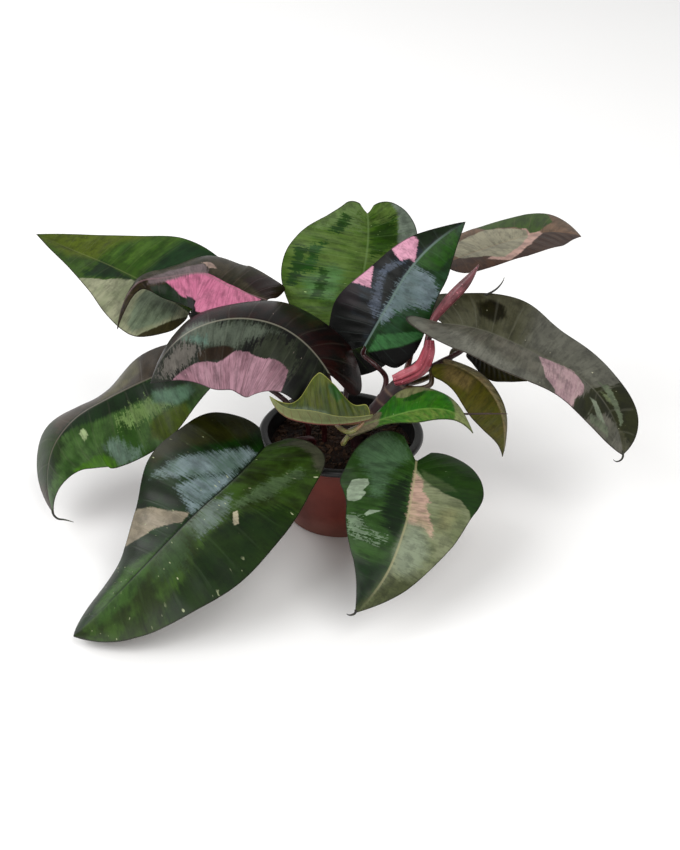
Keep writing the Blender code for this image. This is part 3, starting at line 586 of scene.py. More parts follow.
def join(parts):
    """One list of points, faces and fields from several, each with its faces' numbers moved on."""
    points, faces, fields, start = [], [], [], 0
    for part_points, part_faces, part_fields in parts:
        points.append(part_points)
        fields.append(part_fields)
        faces += [tuple(number + start for number in face) for face in part_faces]
        start += len(part_points)
    return np.concatenate(points), faces, np.concatenate(fields)


def distance_inside(polygon, s, q):
    """Distance to the polygon's outline at each (s, q), above 0 inside and below 0 outside."""
    corner = np.asarray(polygon, float)
    after = np.roll(corner, -1, axis=0)
    edge = after - corner
    to = np.stack([s, q], -1)[..., None, :] - corner
    reach = ((to * edge).sum(-1) / (edge ** 2).sum(-1)).clip(0.0, 1.0)
    far = np.linalg.norm(to - reach[..., None] * edge, axis=-1).min(-1)
    x, y = s[..., None], q[..., None]
    crosses = (corner[:, 1] > y) != (after[:, 1] > y)
    rise = np.where(edge[:, 1] == 0, 1.0, edge[:, 1])
    left = x < corner[:, 0] + (y - corner[:, 1]) * edge[:, 0] / rise
    inside = (crosses & left).sum(-1) % 2 == 1
    return np.where(inside, far, -far)


def leaf_margin(count, lobe, shoulder, widths, length):
    """Margin of one half: share of the rib and mm outwards, from the lobe's inner edge to the tip.

    A smooth curve runs round the lobe behind the leaf base, which is as wide as that share of the first
    width that shoulder gives, and then through the widths.
    """
    first = widths[0] * shoulder
    marks = [(-0.8 * lobe, 0.2 * first), (-lobe, 0.5 * first), (-0.6 * lobe, 0.82 * first)]
    marks += list(zip((0.1, 0.3, 0.5, 0.7, 0.9), widths)) + [(1.0, 0.0)]
    curve = smooth_curve([(share * length, out) for share, out in marks], count)[0]
    return curve[:, 0] / length, curve[:, 1].clip(0.0)


def leaf_sheet(leaf, look, rows, columns):
    """Middle surface of a blade, with its upward direction and its fields.

    A point starts at its place on the rib and goes q mm outwards along an arc: the half hangs at the
    angle of its station, is a little flatter at the rib and steeper at the margin, so that it is
    arched, and the margin waves up and down. The result's columns run from the margin of half 0 over
    the rib to the margin of half 1.
    """
    rib, length = smooth_curve(leaf["rib"], RIB_STATIONS + 1)
    along = unit(np.gradient(rib, axis=0))
    side = np.asarray(leaf["side"], float)
    side = unit(side - (along @ side)[:, None] * along)
    up = np.cross(along, side)
    # the rows start closer together near the base, and the columns lie closer together near the rib
    start = np.linspace(0.0, 1.0, rows + 1)[:, None]
    share_on_rib = start ** 1.35
    u = np.linspace(0.0, 1.0, columns + 1) ** 1.4
    stations = np.arange(RIB_STATIONS + 1)
    arch = math.radians(look["arch"])
    height, waves, phase = look["wave"]
    swell = np.sin(math.pi * start) ** 0.6
    halves = []
    for k, sign in enumerate((1, -1)):
        lobe = leaf.get("lobe", (0.12, 0.12))[k]
        shoulder = leaf.get("shoulder", (1.0, 1.0))[k]
        share, out = leaf_margin(rows + 1, lobe, shoulder, leaf["edge"][k], length)
        share, out = share[:, None], out[:, None]
        s = share_on_rib + (share - share_on_rib) * u ** 1.1
        q = out * u
        at = s.clip(0.0, 1.0) * RIB_STATIONS
        base, forward, sideways, upward = (
            np.stack([np.interp(at, stations, v[:, j]) for j in range(3)], -1)
            for v in (rib, along, side * sign, up))
        # behind the leaf base a lobe goes on straight back at its own angle
        lobe_hang = math.radians(leaf.get("lobe_hang", (0, 0))[k])
        behind = np.minimum(s, 0.0)[..., None] * length
        base = base + behind * (forward * math.cos(lobe_hang) + upward * math.sin(lobe_hang))
        hang = np.radians(smooth_steps(leaf["hang"][k], s))
        angle = hang + arch * (2 * u - 1)
        away = out / (2 * arch) * (np.sin(angle) - np.sin(hang - arch))
        drop = out / (2 * arch) * (np.cos(hang - arch) - np.cos(angle))
        # the waves of the margin, out of step on the two halves, and the bulges between lateral veins
        ripple = height * u ** 2.5 * swell * np.sin(2 * math.pi * (waves * start + 0.37 * k + phase))
        quilt = look.get("quilt", 0.22) * np.sin(math.pi * u) * swell * np.cos(2 * math.pi * VEINS * start)
        normal = upward * np.cos(angle)[..., None] + sideways * np.sin(angle)[..., None]
        point = base + sideways * away[..., None] - upward * drop[..., None]
        point = point + normal * (ripple + quilt)[..., None]
        rim = np.minimum(out * (1 - u), length * (1.0 - s) * 0.6)
        field = np.stack(np.broadcast_arrays(start, sign * u, s * length, sign * q, rim), -1)
        halves.append((point, normal, field))
    return [np.concatenate([first[:, ::-1], second[:, 1:]], 1) for first, second in zip(*halves)]


def leaf_shell(leaf, look, rows, columns):
    """Closed blade: the middle surface moved up and down by half its thickness, joined at the margin.

    The blade is thicker at the rib than at the margin. Its upper face has a groove along the rib and
    its lower face a ridge, both bell curves of the distance across, that fade out towards the tip.
    """
    middle, normal, field = leaf_sheet(leaf, look, rows, columns)
    start, u, s, q, rim = (field[..., n] for n in range(5))
    half = 0.5 * (RIB_THICKNESS + (MARGIN_THICKNESS - RIB_THICKNESS) * np.abs(u) ** 0.6)
    fade = (1.0 - start) ** 0.5
    groove = 0.35 * fade * np.exp(-(q / 0.9) ** 2)
    ridge = (0.25 + 1.2 * fade) * np.exp(-(q / (0.6 + 0.8 * fade)) ** 2)
    across = 2 * columns + 1
    count = rows * across + 1
    index = np.arange((rows + 1) * across).reshape(rows + 1, across)
    index[-1] = rows * across
    points, faces, fields = [], [], []
    for under, shift in enumerate((half - groove, -(half + ridge))):
        points.append((middle + normal * shift[..., None]).reshape(-1, 3)[:count])
        fields.append(np.stack([start, u, np.full_like(u, under), s, q, rim], -1).reshape(-1, 6)[:count])
        numbers = index + under * count
        faces += grid_quads(numbers[:-1], bool(under))
        faces += fan(int(numbers[-1, 0]), numbers[-2], bool(under))
    loop = np.concatenate([index[0], index[1:-1, -1], index[-1, :1], index[1:-1, 0][::-1]])
    after = np.roll(loop, -1)
    faces += np.stack([loop, loop + count, after + count, after], 1).tolist()
    return np.concatenate(points), faces, np.concatenate(fields)


def standing_path(points):
    """Path that rises straight out of the soil and goes on through the other points."""
    return [*((*points[0], z) for z in STANDING), *points[1:]]


def leaf_end(name):
    """Last points of a stalk, in mm from the leaf base: from below and behind up and under the rib."""
    rib = smooth_curve(LEAVES[name]["rib"], PATH_STATIONS + 1)[0]
    forward = unit(rib[1] - rib[0])
    side = np.asarray(LEAVES[name]["side"], float)
    up = np.cross(forward, unit(side - forward * (side @ forward)))
    if name in UNDER_BLADE:
        return [rib[0] + forward * 14 - up * 6.85, rib[0] + forward * 4 - up * 2.4]
    return [rib[0] - forward * 8 - up * 7.5, rib[0] - forward - up * 2.4, rib[8] - up * 1.3]


def branch_path(share, points, stem_radius):
    """Path that starts just under the stem's skin, that share of the way up, and passes the points."""
    centre = smooth_curve(standing_path(STEM), PATH_STATIONS + 1)[0]
    at = int(share * PATH_STATIONS)
    along = unit(centre[min(at + 1, PATH_STATIONS)] - centre[at - 1])
    way = np.asarray(points[0], float) - centre[at]
    out = unit(way - along * (way @ along))
    skin = np.interp(share, np.linspace(0, 1, len(STEM_TAPER)), STEM_TAPER) * stem_radius
    sunk = 0.8
    return [centre[at] + out * (skin - sunk), *points]


def stem_scars(share, above=0.0, width=0.010):
    """1 on the rings that old leaves left and 0 between them, as bell curves; above moves them up."""
    return np.exp(-((np.asarray(share)[..., None] - np.array(SCARS) - above) / width) ** 2).max(-1)


def stem_skin(share, turn):
    """Swollen rings just above the scars and shallow flutes along the stem."""
    swell = 0.07 * stem_scars(share, 0.01, 0.022)
    return 0.96 + swell + 0.02 * np.sin(5 * turn + 9 * share) - 0.03 * stem_scars(share)


def stalk_groove(share, turn):
    """Round stalk with a shallow groove along one side and a slightly swollen foot."""
    return 1.0 - 0.10 * np.exp(-((turn - math.pi) / 0.45) ** 2) + 0.10 * np.exp(-(share / 0.03) ** 2)


def sheath_keels(share, turn):
    """Flattened sheath with two keels along it and thin edges that roll in."""
    return 0.74 + 0.24 * np.cos(2 * turn) + 0.09 * np.cos(6 * turn + 2 * share)


def rolled_seam(share, turn):
    """Leaf still rolled up: its free edge winds round it once as a step that fades to a groove."""
    lap = (turn / (2 * math.pi) - 0.9 * share) % 1.0
    return 0.90 + 0.16 * lap ** 0.8 + 0.02 * np.sin(18 * share + 2 * turn)


# ---------------------------------------------------------------- materials


def paint(red, green, blue, strength=0.88, haze=0.014):
    """Colour as light from its screen values, by the usual curve between the two.

    The grey that gloss adds to every colour is taken off first, and the rest is weakened, because the
    lights of the stage are stronger than plain daylight.
    """
    light = [((v / 255 + 0.055) / 1.055) ** 2.4 if v > 10 else v / 3295 for v in (red, green, blue)]
    return tuple(strength * max(v - haze, 0.2 * v) for v in light)


class Wire:
    """Output of a node that can be added, subtracted and multiplied as a number is."""

    def __init__(self, graph, socket):
        self.graph = graph
        self.socket = socket

    def __add__(self, other):
        return self.graph.maths("ADD", self, other)

    def __radd__(self, other):
        return self.graph.maths("ADD", other, self)

    def __sub__(self, other):
        return self.graph.maths("SUBTRACT", self, other)

    def __rsub__(self, other):
        return self.graph.maths("SUBTRACT", other, self)

    def __mul__(self, other):
        return self.graph.maths("MULTIPLY", self, other)

    def __rmul__(self, other):
        return self.graph.maths("MULTIPLY", other, self)


class Graph:
    """Node tree of one material, built from expressions."""

    def __init__(self, name):
        self.material = bpy.data.materials.new(name)
        self.material.use_nodes = True
        self.tree = self.material.node_tree
        self.shader = self.tree.nodes["Principled BSDF"]

    def node(self, kind, settings=None, values=None, out=0):
        """New node: its settings first, then a value or a link for each socket named or numbered."""
        made = self.tree.nodes.new(kind)
        for key, value in (settings or {}).items():
            setattr(made, key, value)
        for key, value in (values or {}).items():
            self.put(made.inputs[key], value)
        return Wire(self, made.outputs[out])

    def put(self, socket, value):
        """A wire is linked to the socket; a number or a colour is set on it."""
        if isinstance(value, Wire):
            self.tree.links.new(value.socket, socket)
        elif isinstance(value, tuple) and len(value) == 3 and len(socket.default_value) == 4:
            socket.default_value = (*value, 1.0)
        else:
            socket.default_value = value

    def surface(self, **values):
        """Values or links for the shader's sockets, named with _ in place of a space."""
        for key, value in values.items():
            self.put(self.shader.inputs[key.replace("_", " ")], value)
        return self.material

    def maths(self, operation, *values):
        return self.node("ShaderNodeMath", {"operation": operation}, dict(enumerate(values)))

    def place(self):
        """Position in metres."""
        return self.node("ShaderNodeTexCoord", out=3)

    def split(self, vector):
        """The three numbers of a vector, or of the mesh's field of that name."""
        if isinstance(vector, str):
            vector = self.node("ShaderNodeAttribute", {"attribute_name": vector}, out=1)
        apart = self.node("ShaderNodeSeparateXYZ", values={0: vector}).socket.node
        return tuple(Wire(self, output) for output in apart.outputs)

    def vector(self, x, y, z):
        return self.node("ShaderNodeCombineXYZ", values={0: x, 1: y, 2: z})

    def scaled(self, vector, *factors):
        return self.node("ShaderNodeVectorMath", {"operation": "MULTIPLY"}, {0: vector, 1: factors})

    def noise(self, vector, scale=1.0, detail=2.0, roughness=0.5, distortion=0.0):
        """Clouds with values round 0.5."""
        return self.node("ShaderNodeTexNoise", values={
            "Vector": vector, "Scale": scale, "Detail": detail, "Roughness": roughness,
            "Distortion": distortion})

    def step(self, value, low, high):
        """0 below low, 1 above high and a smooth rise between them."""
        return self.node("ShaderNodeMapRange", {"interpolation_type": "SMOOTHSTEP"},
                         {0: value, 1: low, 2: high, 3: 0.0, 4: 1.0})

    def mix(self, factor, first, second):
        """The first colour where factor is 0 and the second where it is 1."""
        return self.node("ShaderNodeMix", {"data_type": "RGBA", "clamp_factor": True},
                         {0: factor, 6: first, 7: second}, out=2)

    def tones(self, factor, first, second):
        """Mix of two colours given by their screen values."""
        return self.mix(factor, paint(*first), paint(*second))

    def shade(self, factor, colour, strength):
        """Colour brought nearer to black by strength, as far as factor says."""
        return self.node("ShaderNodeMix", {"data_type": "RGBA", "blend_type": "MULTIPLY"},
                         {0: factor, 6: colour, 7: (strength, strength, strength)}, out=2)

    def bump(self, height, strength):
        """Bumps from a height in millimetres."""
        return self.node("ShaderNodeBump", values={"Height": height, "Strength": strength, "Distance": MM})


def leaf_material(name, look):
    """Leaf skin: two tones in clouds and in bands along the veins, patches with streaked borders, some of
    them painted sheen and painted shade, flecks, a rib and veins, a thin margin, and a duller lower face."""
    g = Graph("skin_" + name)
    seed = look["seed"]
    start, u, under = g.split("vein")
    s, q, rim = g.split("flat")
    streak = g.noise(g.vector(start * 130.0, u * 3.2, seed), detail=3.0, roughness=0.6)
    band = g.noise(g.vector(start * 26.0, u * 1.1, seed + 7.0))
    cloud = g.noise(g.vector(s * 0.055, q * 0.055, seed + 3.0), detail=3.0, roughness=0.55)
    grain = g.noise(g.vector(s * 0.55, q * 0.55, seed), detail=3.0, roughness=0.65)
    mottle = g.step(0.55 * cloud + 0.45 * band, 0.40, 0.60)
    colour = g.tones(mottle, *look["tones"])
    if "other_tones" in look:
        other = g.tones(mottle, *look["other_tones"])
        colour = g.mix(g.step(q + (grain - 0.5) * 2.0, -0.5, 0.5), other, colour)
    # a patch covers what lies inside its outline, moved to and fro by the streaks and the grain; some
    # patches are painted sheen and painted shade
    streaked = 0.6 * cloud + 0.4 * streak
    for number, (tone, soft, ragged, *_) in enumerate(PATCHES[name]):
        depth = g.split("patch_%d" % (number // 3))[number % 3]
        reach = depth + (streak - 0.5) * (2.0 * ragged) + (grain - 0.5) * ragged
        if isinstance(tone[0], tuple):
            fill = g.tones(g.step(streaked, 0.40, 0.60), *tone)
        else:
            fill = g.tones(g.step(cloud, 0.3, 0.7), [0.88 * c for c in tone], tone)
        colour = g.mix(g.step(reach, -soft, soft), colour, fill)
    # darker dapples and streaks over everything, then pale flecks in places
    dapple = g.noise(g.vector(start * 34.0, u * 3.2, seed + 17.0), detail=4.0, roughness=0.58)
    colour = g.shade(1.0 - g.step(0.8 * dapple + 0.2 * grain, 0.36, 0.58), colour, look.get("depth", 0.62))
    colour = g.shade(g.step(streak, 0.50, 0.64), colour, 0.80)
    if "flecks" in look:
        tone, share = look["flecks"]
        dots = g.noise(g.vector(start * 95.0, u * 9.0, seed + 11.0), detail=1.0)
        dots = g.step(dots, 0.80 - share, 0.84 - share) * g.step(cloud, 0.42, 0.62)
        colour = g.mix(dots, colour, paint(*tone))
    # the lateral veins: to_vein is 0 on one and 1 half way between two
    to_vein = 2.0 * g.maths("PINGPONG", start * float(VEINS) + (band - 0.5) * 0.3, 0.5)
    out = g.maths("ABSOLUTE", u)
    vein = (1.0 - g.step(to_vein, 0.02, 0.14)) * g.step(out, 0.0, 0.05) * (1.0 - g.step(out, 0.75, 0.97))
    colour = g.mix(vein * look.get("vein_strength", 0.05), colour, paint(*look.get("vein", look["rib"])))
    on_rib = (1.0 - g.step(g.maths("ABSOLUTE", q), 0.35, 1.05)) * (1.0 - g.step(start, 0.75, 1.0))
    colour = g.mix(on_rib * look.get("rib_strength", 0.7), colour, paint(*look["rib"]))
    on_rim = 1.0 - g.step(rim, 0.25, 0.95)
    colour = g.mix(on_rim * 0.75, colour, paint(*look.get("rim", DRY_RIM)))
    # the lower face: its own two tones, with a reddish rib and veins, which bulge there
    below = g.tones(g.step(streaked, 0.35, 0.65), *look["below"])
    below = g.mix(on_rib, below, paint(*RIB_BELOW))
    below = g.mix(vein * 0.35, below, paint(*RIB_BELOW))
    beneath = g.step(under, 0.45, 0.55)
    roughness = look["gloss"] + 0.12 * (cloud - 0.5) + 0.10 * grain + 0.16 * beneath
    height = 0.10 * grain - 0.12 * vein * (1.0 - 2.0 * beneath) + 0.05 * streak
    return g.surface(Base_Color=g.mix(beneath, colour, below), Roughness=roughness,
                     Normal=g.bump(height, 0.7), Specular_IOR_Level=look.get("shine", 0.15),
                     Coat_Weight=look.get("coat", 0.06), Coat_Roughness=0.18)


def plastic_material(name, tone, dusty, roughness, grain_size):
    """Moulded plastic: fine grain, rubbed streaks that run up and down all over, and dust that gathers low.
    """
    g = Graph(name)
    place = g.place()
    cloud = g.noise(place, 45.0, 4.0, 0.6)
    fine = g.noise(place, grain_size)
    rubs = g.noise(g.scaled(place, 260.0, 260.0, 22.0), 1.0, 3.0, 0.7)
    colour = g.tones(g.step(cloud, 0.3, 0.7), tone, [0.86 * c for c in tone])
    low = 1.0 - g.step(g.split(place)[2] + (cloud - 0.5) * 0.02, 0.0, 0.022)
    dust = low * 0.45 + g.step(rubs, 0.66, 0.80) * 0.25
    return g.surface(Base_Color=g.mix(dust, colour, paint(*dusty)), Specular_IOR_Level=0.4,
                     Roughness=roughness + 0.18 * dust + 0.12 * (cloud - 0.5),
                     Normal=g.bump(0.06 * fine + 0.05 * cloud, 0.8))


def soil_material():
    """Damp potting soil: crumbs from fine noise, with painted shade in their hollows, and fibres of a warmer
    brown.
    """
    g = Graph("potting_soil")
    place = g.place()
    crumb = g.noise(place, 420.0, 4.0, 0.7)
    cloud = g.noise(place, 60.0, 3.0)
    fibre = g.noise(g.scaled(place, 900.0, 160.0, 500.0), 1.0, 2.0, 0.6, 0.4)
    # painted shade: the crumbs' hollows, low in the bump, are painted dark, mixed with clouds of darker and
    # lighter soil
    colour = g.tones(g.step(0.6 * crumb + 0.4 * cloud, 0.38, 0.62), (22, 17, 16), (58, 44, 38))
    colour = g.mix(g.step(fibre, 0.62, 0.72) * 0.6, colour, paint(104, 80, 60))
    colour = g.mix(g.split("tint")[0], colour, paint(84, 64, 50))
    return g.surface(Base_Color=colour, Roughness=0.82 + 0.16 * crumb, Normal=g.bump(0.9 * crumb, 0.8),
                     Specular_IOR_Level=0.25)


def stalk_material(name, tone, warm, roughness=0.36):
    """Stalk skin: fine lines along the stalk, a redder shade in places and small pale dots."""
    g = Graph(name)
    along, turn, _ = g.split("place")
    lines = g.noise(g.vector(along * 0.05, g.maths("SINE", turn) * 5.0, 2.0), detail=3.0, roughness=0.6)
    cloud = g.noise(g.place(), 70.0, 3.0)
    dots = g.noise(g.place(), 900.0, 0.0)
    colour = g.tones(g.step(0.5 * lines + 0.5 * cloud, 0.38, 0.62), tone, warm)
    colour = g.mix(g.step(dots, 0.74, 0.80) * 0.5, colour, paint(*(min(255, 1.6 * c + 20) for c in tone)))
    return g.surface(Base_Color=colour, Roughness=roughness + 0.2 * (cloud - 0.5),
                     Normal=g.bump(0.15 * lines, 0.8), Specular_IOR_Level=0.45, Coat_Weight=0.08)


def stem_material():
    """Thick stem: dark waxy skin with paler scars round it where old leaves stood, and corky specks."""
    g = Graph("stem_skin")
    cork = g.noise(g.place(), 260.0, 4.0, 0.65)
    cloud = g.noise(g.place(), 55.0, 3.0)
    colour = g.tones(g.step(cloud, 0.35, 0.65), (34, 24, 27), (58, 38, 40))
    colour = g.mix(g.step(cork, 0.60, 0.74) * 0.6, colour, paint(104, 84, 70))
    colour = g.mix(g.split("place")[2] * 0.7, colour, paint(112, 92, 78))
    return g.surface(Base_Color=colour, Roughness=0.42 + 0.25 * cork, Normal=g.bump(0.35 * cork, 0.9),
                     Specular_IOR_Level=0.4)


# ---------------------------------------------------------------- what a user may change


class PotSettings(bpy.types.PropertyGroup):
    segments: bpy.props.IntProperty(
        name="Segments", description="Steps round each pot", default=144, min=24)
    outer_tone: bpy.props.FloatVectorProperty(
        name="Outer pot", description="Screen colour of the outer pot, 0 to 255", size=3,
        default=(119.0, 55.0, 45.0), min=0.0, max=255.0)
    inner_tone: bpy.props.FloatVectorProperty(
        name="Grower's pot", description="Screen colour of the grower's pot, 0 to 255", size=3,
        default=(30.0, 29.0, 31.0), min=0.0, max=255.0)


class SoilSettings(bpy.types.PropertyGroup):
    crumbs: bpy.props.IntProperty(
        name="Chips", description="Pieces of bark that lie on the soil", default=420, min=0)
    relief: bpy.props.FloatProperty(
        name="Relief", description="Height of the lumps in the soil", default=0.0011, unit="LENGTH")
    seed: bpy.props.IntProperty(name="Seed", description="Start of the chips' random places", default=8)


class StemSettings(bpy.types.PropertyGroup):
    sides: bpy.props.IntProperty(
        name="Sides", description="Steps round each stalk", default=20, min=6)
    stalk_radius: bpy.props.FloatProperty(
        name="Stalk radius", description="Radius of a stalk where it starts", default=0.0021,
        unit="LENGTH")
    stem_radius: bpy.props.FloatProperty(
        name="Stem radius", description="Radius of the thick stem at the soil", default=0.0062,
        unit="LENGTH")


class LeafSettings(bpy.types.PropertyGroup):
    rows: bpy.props.IntProperty(
        name="Rows", description="Steps along the rib of a large leaf", default=150, min=20)
    columns: bpy.props.IntProperty(
        name="Columns", description="Steps from the rib to the margin", default=30, min=6)


class StageSettings(bpy.types.PropertyGroup):
    floor_tone: bpy.props.FloatVectorProperty(
        name="Floor", description="Screen colour of the floor, 0 to 255", size=3,
        default=(250.0, 250.0, 250.0), min=0.0, max=255.0)
    surroundings: bpy.props.FloatProperty(
        name="Surroundings", description="Strength of the even light from all round", default=0.6)
    softbox: bpy.props.FloatProperty(
        name="Softbox", description="Power of the light in front on the left", default=36.0, unit="POWER")


# ---------------------------------------------------------------- operators


class PLANT_OT_pots(bpy.types.Operator):
    """Build the outer pot and the grower's pot with its rolled rim"""
    bl_idname = "plant.pots"
    bl_label = "Pots"

    def execute(self, context):
        settings = context.scene.plant_pots
        foot, top, high, wall, lip = 38.0, 57.2, 64.0, 1.8, 0.9
        flare = top - foot
        slope = math.degrees(math.atan2(high, flare))
        # the raised base, the foot's edge, the slightly bulged side, the lip, the inside and the floor
        profile = [(0, 0.6), (foot - 4.6, 0.6), (foot - 4.0, 0)]
        profile += arc((foot - lip, lip), lip, -90, slope - 90, 6)
        profile += [(foot + flare * share + 0.2 * math.sin(math.pi * share), high * share)
                    for share in np.linspace(0.08, 0.92, 12)]
        profile += arc((top - lip, high - lip), lip, slope - 90, 180, 10)
        profile += [(top - wall - flare * share, high - (high - 3.0) * share)
                    for share in np.linspace(0.1, 0.96, 8)]
        profile += [(foot - wall - 2.0, 2.1), (0, 2.1)]
        points, faces = lathe_mesh(profile, settings.segments)
        brick = plastic_material("brick_red", tuple(settings.outer_tone), (150, 112, 100), 0.46, 2600.0)
        make_piece("outer_pot_body", points, faces, brick, ["outer_pot"], 45.0)

        # the grower's pot with room round it: base, side, rolled rim, rounded mouth, inside and floor
        room = 0.6
        low, rim_low, rim_radius, bead = 2.3, 64.3, 60.0, 2.35
        rim_top = rim_low + 2 * bead
        inner_top, inner_foot = top - wall - room, foot - wall - room
        bottom, mouth = 4.2, rim_top - 1.6
        profile = [(0, low), (inner_foot - 1.0, low), (inner_foot, low + 1.0)]
        profile += [(inner_foot + flare * share, low + 1.0 + (rim_low - low - 1.8) * share)
                    for share in np.linspace(0.1, 1.0, 8)]
        profile += [(inner_top, rim_low)]
        profile += arc((rim_radius - bead, rim_low + bead), bead, -90, 90, 16)
        profile += [(inner_top + 0.2, rim_top - 0.2)]
        profile += arc((inner_top - 0.2, rim_top - 1.4), 1.1, 80, 180, 6)
        profile += [(inner_top - 1.3 - flare * share, mouth - (mouth - bottom) * share)
                    for share in np.linspace(0.08, 1.0, 14)]
        profile += [(0, bottom)]
        points, faces = lathe_mesh(profile, settings.segments)
        black = plastic_material("black", tuple(settings.inner_tone), (92, 84, 80), 0.38, 3200.0)
        make_piece("grow_pot_body", points, faces, black, ["grow_pot"], 45.0)
        return {"FINISHED"}


class PLANT_OT_soil(bpy.types.Operator):
    """Build the soil with its lumps and chips of bark"""
    bl_idname = "plant.soil"
    bl_label = "Soil"

    def execute(self, context):
        settings = context.scene.plant_soil
        # a lumpy disc that is level at its edge, with a slanting side and a flat bottom
        rings, sides, bottom = 60, 180, 6.0
        share = np.linspace(0.0, 1.0, rings + 1)[1:, None]
        turn = np.linspace(0.0, 2 * math.pi, sides, endpoint=False)[None, :]
        x, y = SOIL_REACH * share * np.cos(turn), SOIL_REACH * share * np.sin(turn)
        relief = settings.relief / MM
        z = SOIL_TOP + SOIL_CROWN * (1 - share ** 2) + relief * self.lumps(x, y) * (1 - share ** 12)
        points = np.stack([x, y, z], -1).reshape(-1, 3)
        below = np.stack([x[-1] * 0.7, y[-1] * 0.7, np.full(sides, bottom)], -1)
        index = ring_index(rings + 1, sides)
        middle = index.max() + 1
        points = np.concatenate([points, below, [(0, 0, z[0].mean()), (0, 0, bottom)]])
        faces = grid_quads(index, True) + fan(middle, index[0]) + fan(middle + 1, index[-1], True)
        chips = self.chips(settings, relief)
        points, faces, tint = join([(points, faces, np.zeros((len(points), 3))), chips])
        make_piece("soil_surface", points, faces, soil_material(), ["soil"], 50.0, {"tint": tint})
        return {"FINISHED"}

    def lumps(self, x, y):
        """Sum of crossed waves whose lengths shrink from 20 mm to 3 mm, between about -1 and 1."""
        total = np.zeros_like(x)
        for k, (length, height) in enumerate(((20, 0.45), (11, 0.35), (6.2, 0.3), (3.3, 0.2))):
            way = 2 * math.pi / length
            total += height * (np.sin(way * x + 1.7 * k + 0.6 * np.sin(way * 0.61 * y + k))
                               * np.sin(way * y * 0.93 + 2.3 * k + 0.7 * np.sin(way * 0.53 * x)))
        return total

    def chips(self, settings, relief):
        """Bark chips: six-sided blocks with random sizes and turns, laid on the soil's crown."""
        rng = np.random.default_rng(settings.seed)
        count = settings.crumbs
        share = 0.95 * np.sqrt(rng.random(count))
        way = rng.random(count) * 2 * math.pi
        size = rng.uniform((0.8, 0.6, 0.4), (3.4, 1.9, 1.1), (count, 3))
        square = ((-1, -1), (1, -1), (1, 1), (-1, 1))
        corner = np.array([(a, b, c) for c in (-1, 1) for a, b in square], float)
        block = corner * (1 - 0.28 * rng.random((count, 8, 3))) * size[:, None, :]
        turn = rng.random(count)[:, None] * 2 * math.pi
        lean = rng.normal(0, 0.3, count)[:, None]
        x, z = turned(block[..., 0], block[..., 2], lean)
        x, y = turned(x, block[..., 1], turn)
        px, py = SOIL_REACH * share * np.cos(way), SOIL_REACH * share * np.sin(way)
        height = SOIL_TOP + SOIL_CROWN * (1 - share ** 2) + relief * self.lumps(px, py) * 0.8 + 0.3
        points = np.stack([px[:, None] + x, py[:, None] + y, height[:, None] + z], -1).reshape(-1, 3)
        face = np.array([(3, 2, 1, 0), (4, 5, 6, 7), (0, 1, 5, 4), (1, 2, 6, 5), (2, 3, 7, 6), (3, 0, 4, 7)])
        faces = (face[None] + 8 * np.arange(count)[:, None, None]).reshape(-1, 4).tolist()
        tint = np.repeat(rng.random(count) ** 1.6, 8)
        return points, faces, np.stack([tint, tint, tint], 1)


class PLANT_OT_stems(bpy.types.Operator):
    """Build the thick stem, the stalks, the new leaf, its sheath and the aerial root"""
    bl_idname = "plant.stems"
    bl_label = "Stems"

    def execute(self, context):
        settings = context.scene.plant_stems
        stem = settings.stem_radius / MM
        stalk_radii = [settings.stalk_radius / MM * t for t in STALK_TAPER]
        self.rod("main_stem_skin", "main_stem", "stem_bark", stem_material(), standing_path(STEM),
                 [stem * t for t in STEM_TAPER], 150, 40, stem_skin, stem_scars)
        for name in LEAVES:
            if name in STALKS:
                path = standing_path(STALKS[name])
            else:
                share, *through = BRANCHES[name]
                path = branch_path(share, through, stem)
            skin = stalk_material("stalk_skin_" + name, *STALK_TONES.get(name, ((70, 40, 42), (52, 34, 34))))
            self.rod("petiole_" + name, "stalk_" + name, "stalk_burgundy", skin, path + leaf_end(name),
                     stalk_radii, 90, settings.sides, stalk_groove)
        self.rod("sheath_skin", "sheath", "sheath_pink",
                 stalk_material("sheath_skin", (178, 84, 96), (136, 58, 70), 0.42), SHEATH,
                 (4.4, 5.6, 5.6, 5.4, 5.0, 4.4, 2.8), 80, 28, sheath_keels)
        self.rod("new_leaf_roll", "new_leaf", "sheath_pink",
                 stalk_material("new_leaf_skin", (124, 72, 78), (64, 34, 38), 0.38), NEW_LEAF,
                 (1.8, 2.4, 2.7, 3.1, 4.1, 3.3, 0.5), 110, 40, rolled_seam)
        share, *through = ROOT
        self.rod("root_skin", "root", "stem_bark",
                 stalk_material("root_skin", (44, 30, 26), (66, 48, 38), 0.6),
                 branch_path(share, through, stem), (1.0, 0.85, 0.8, 0.75, 0.7, 0.35), 90, 12)
        return {"FINISHED"}

    def rod(self, name, node, slot, material, *shape):
        """One rod of tube_mesh as a piece that stands for that node."""
        points, faces, place = tube_mesh(*shape)
        make_piece(name, points, faces, material, [node], fields={"place": place})


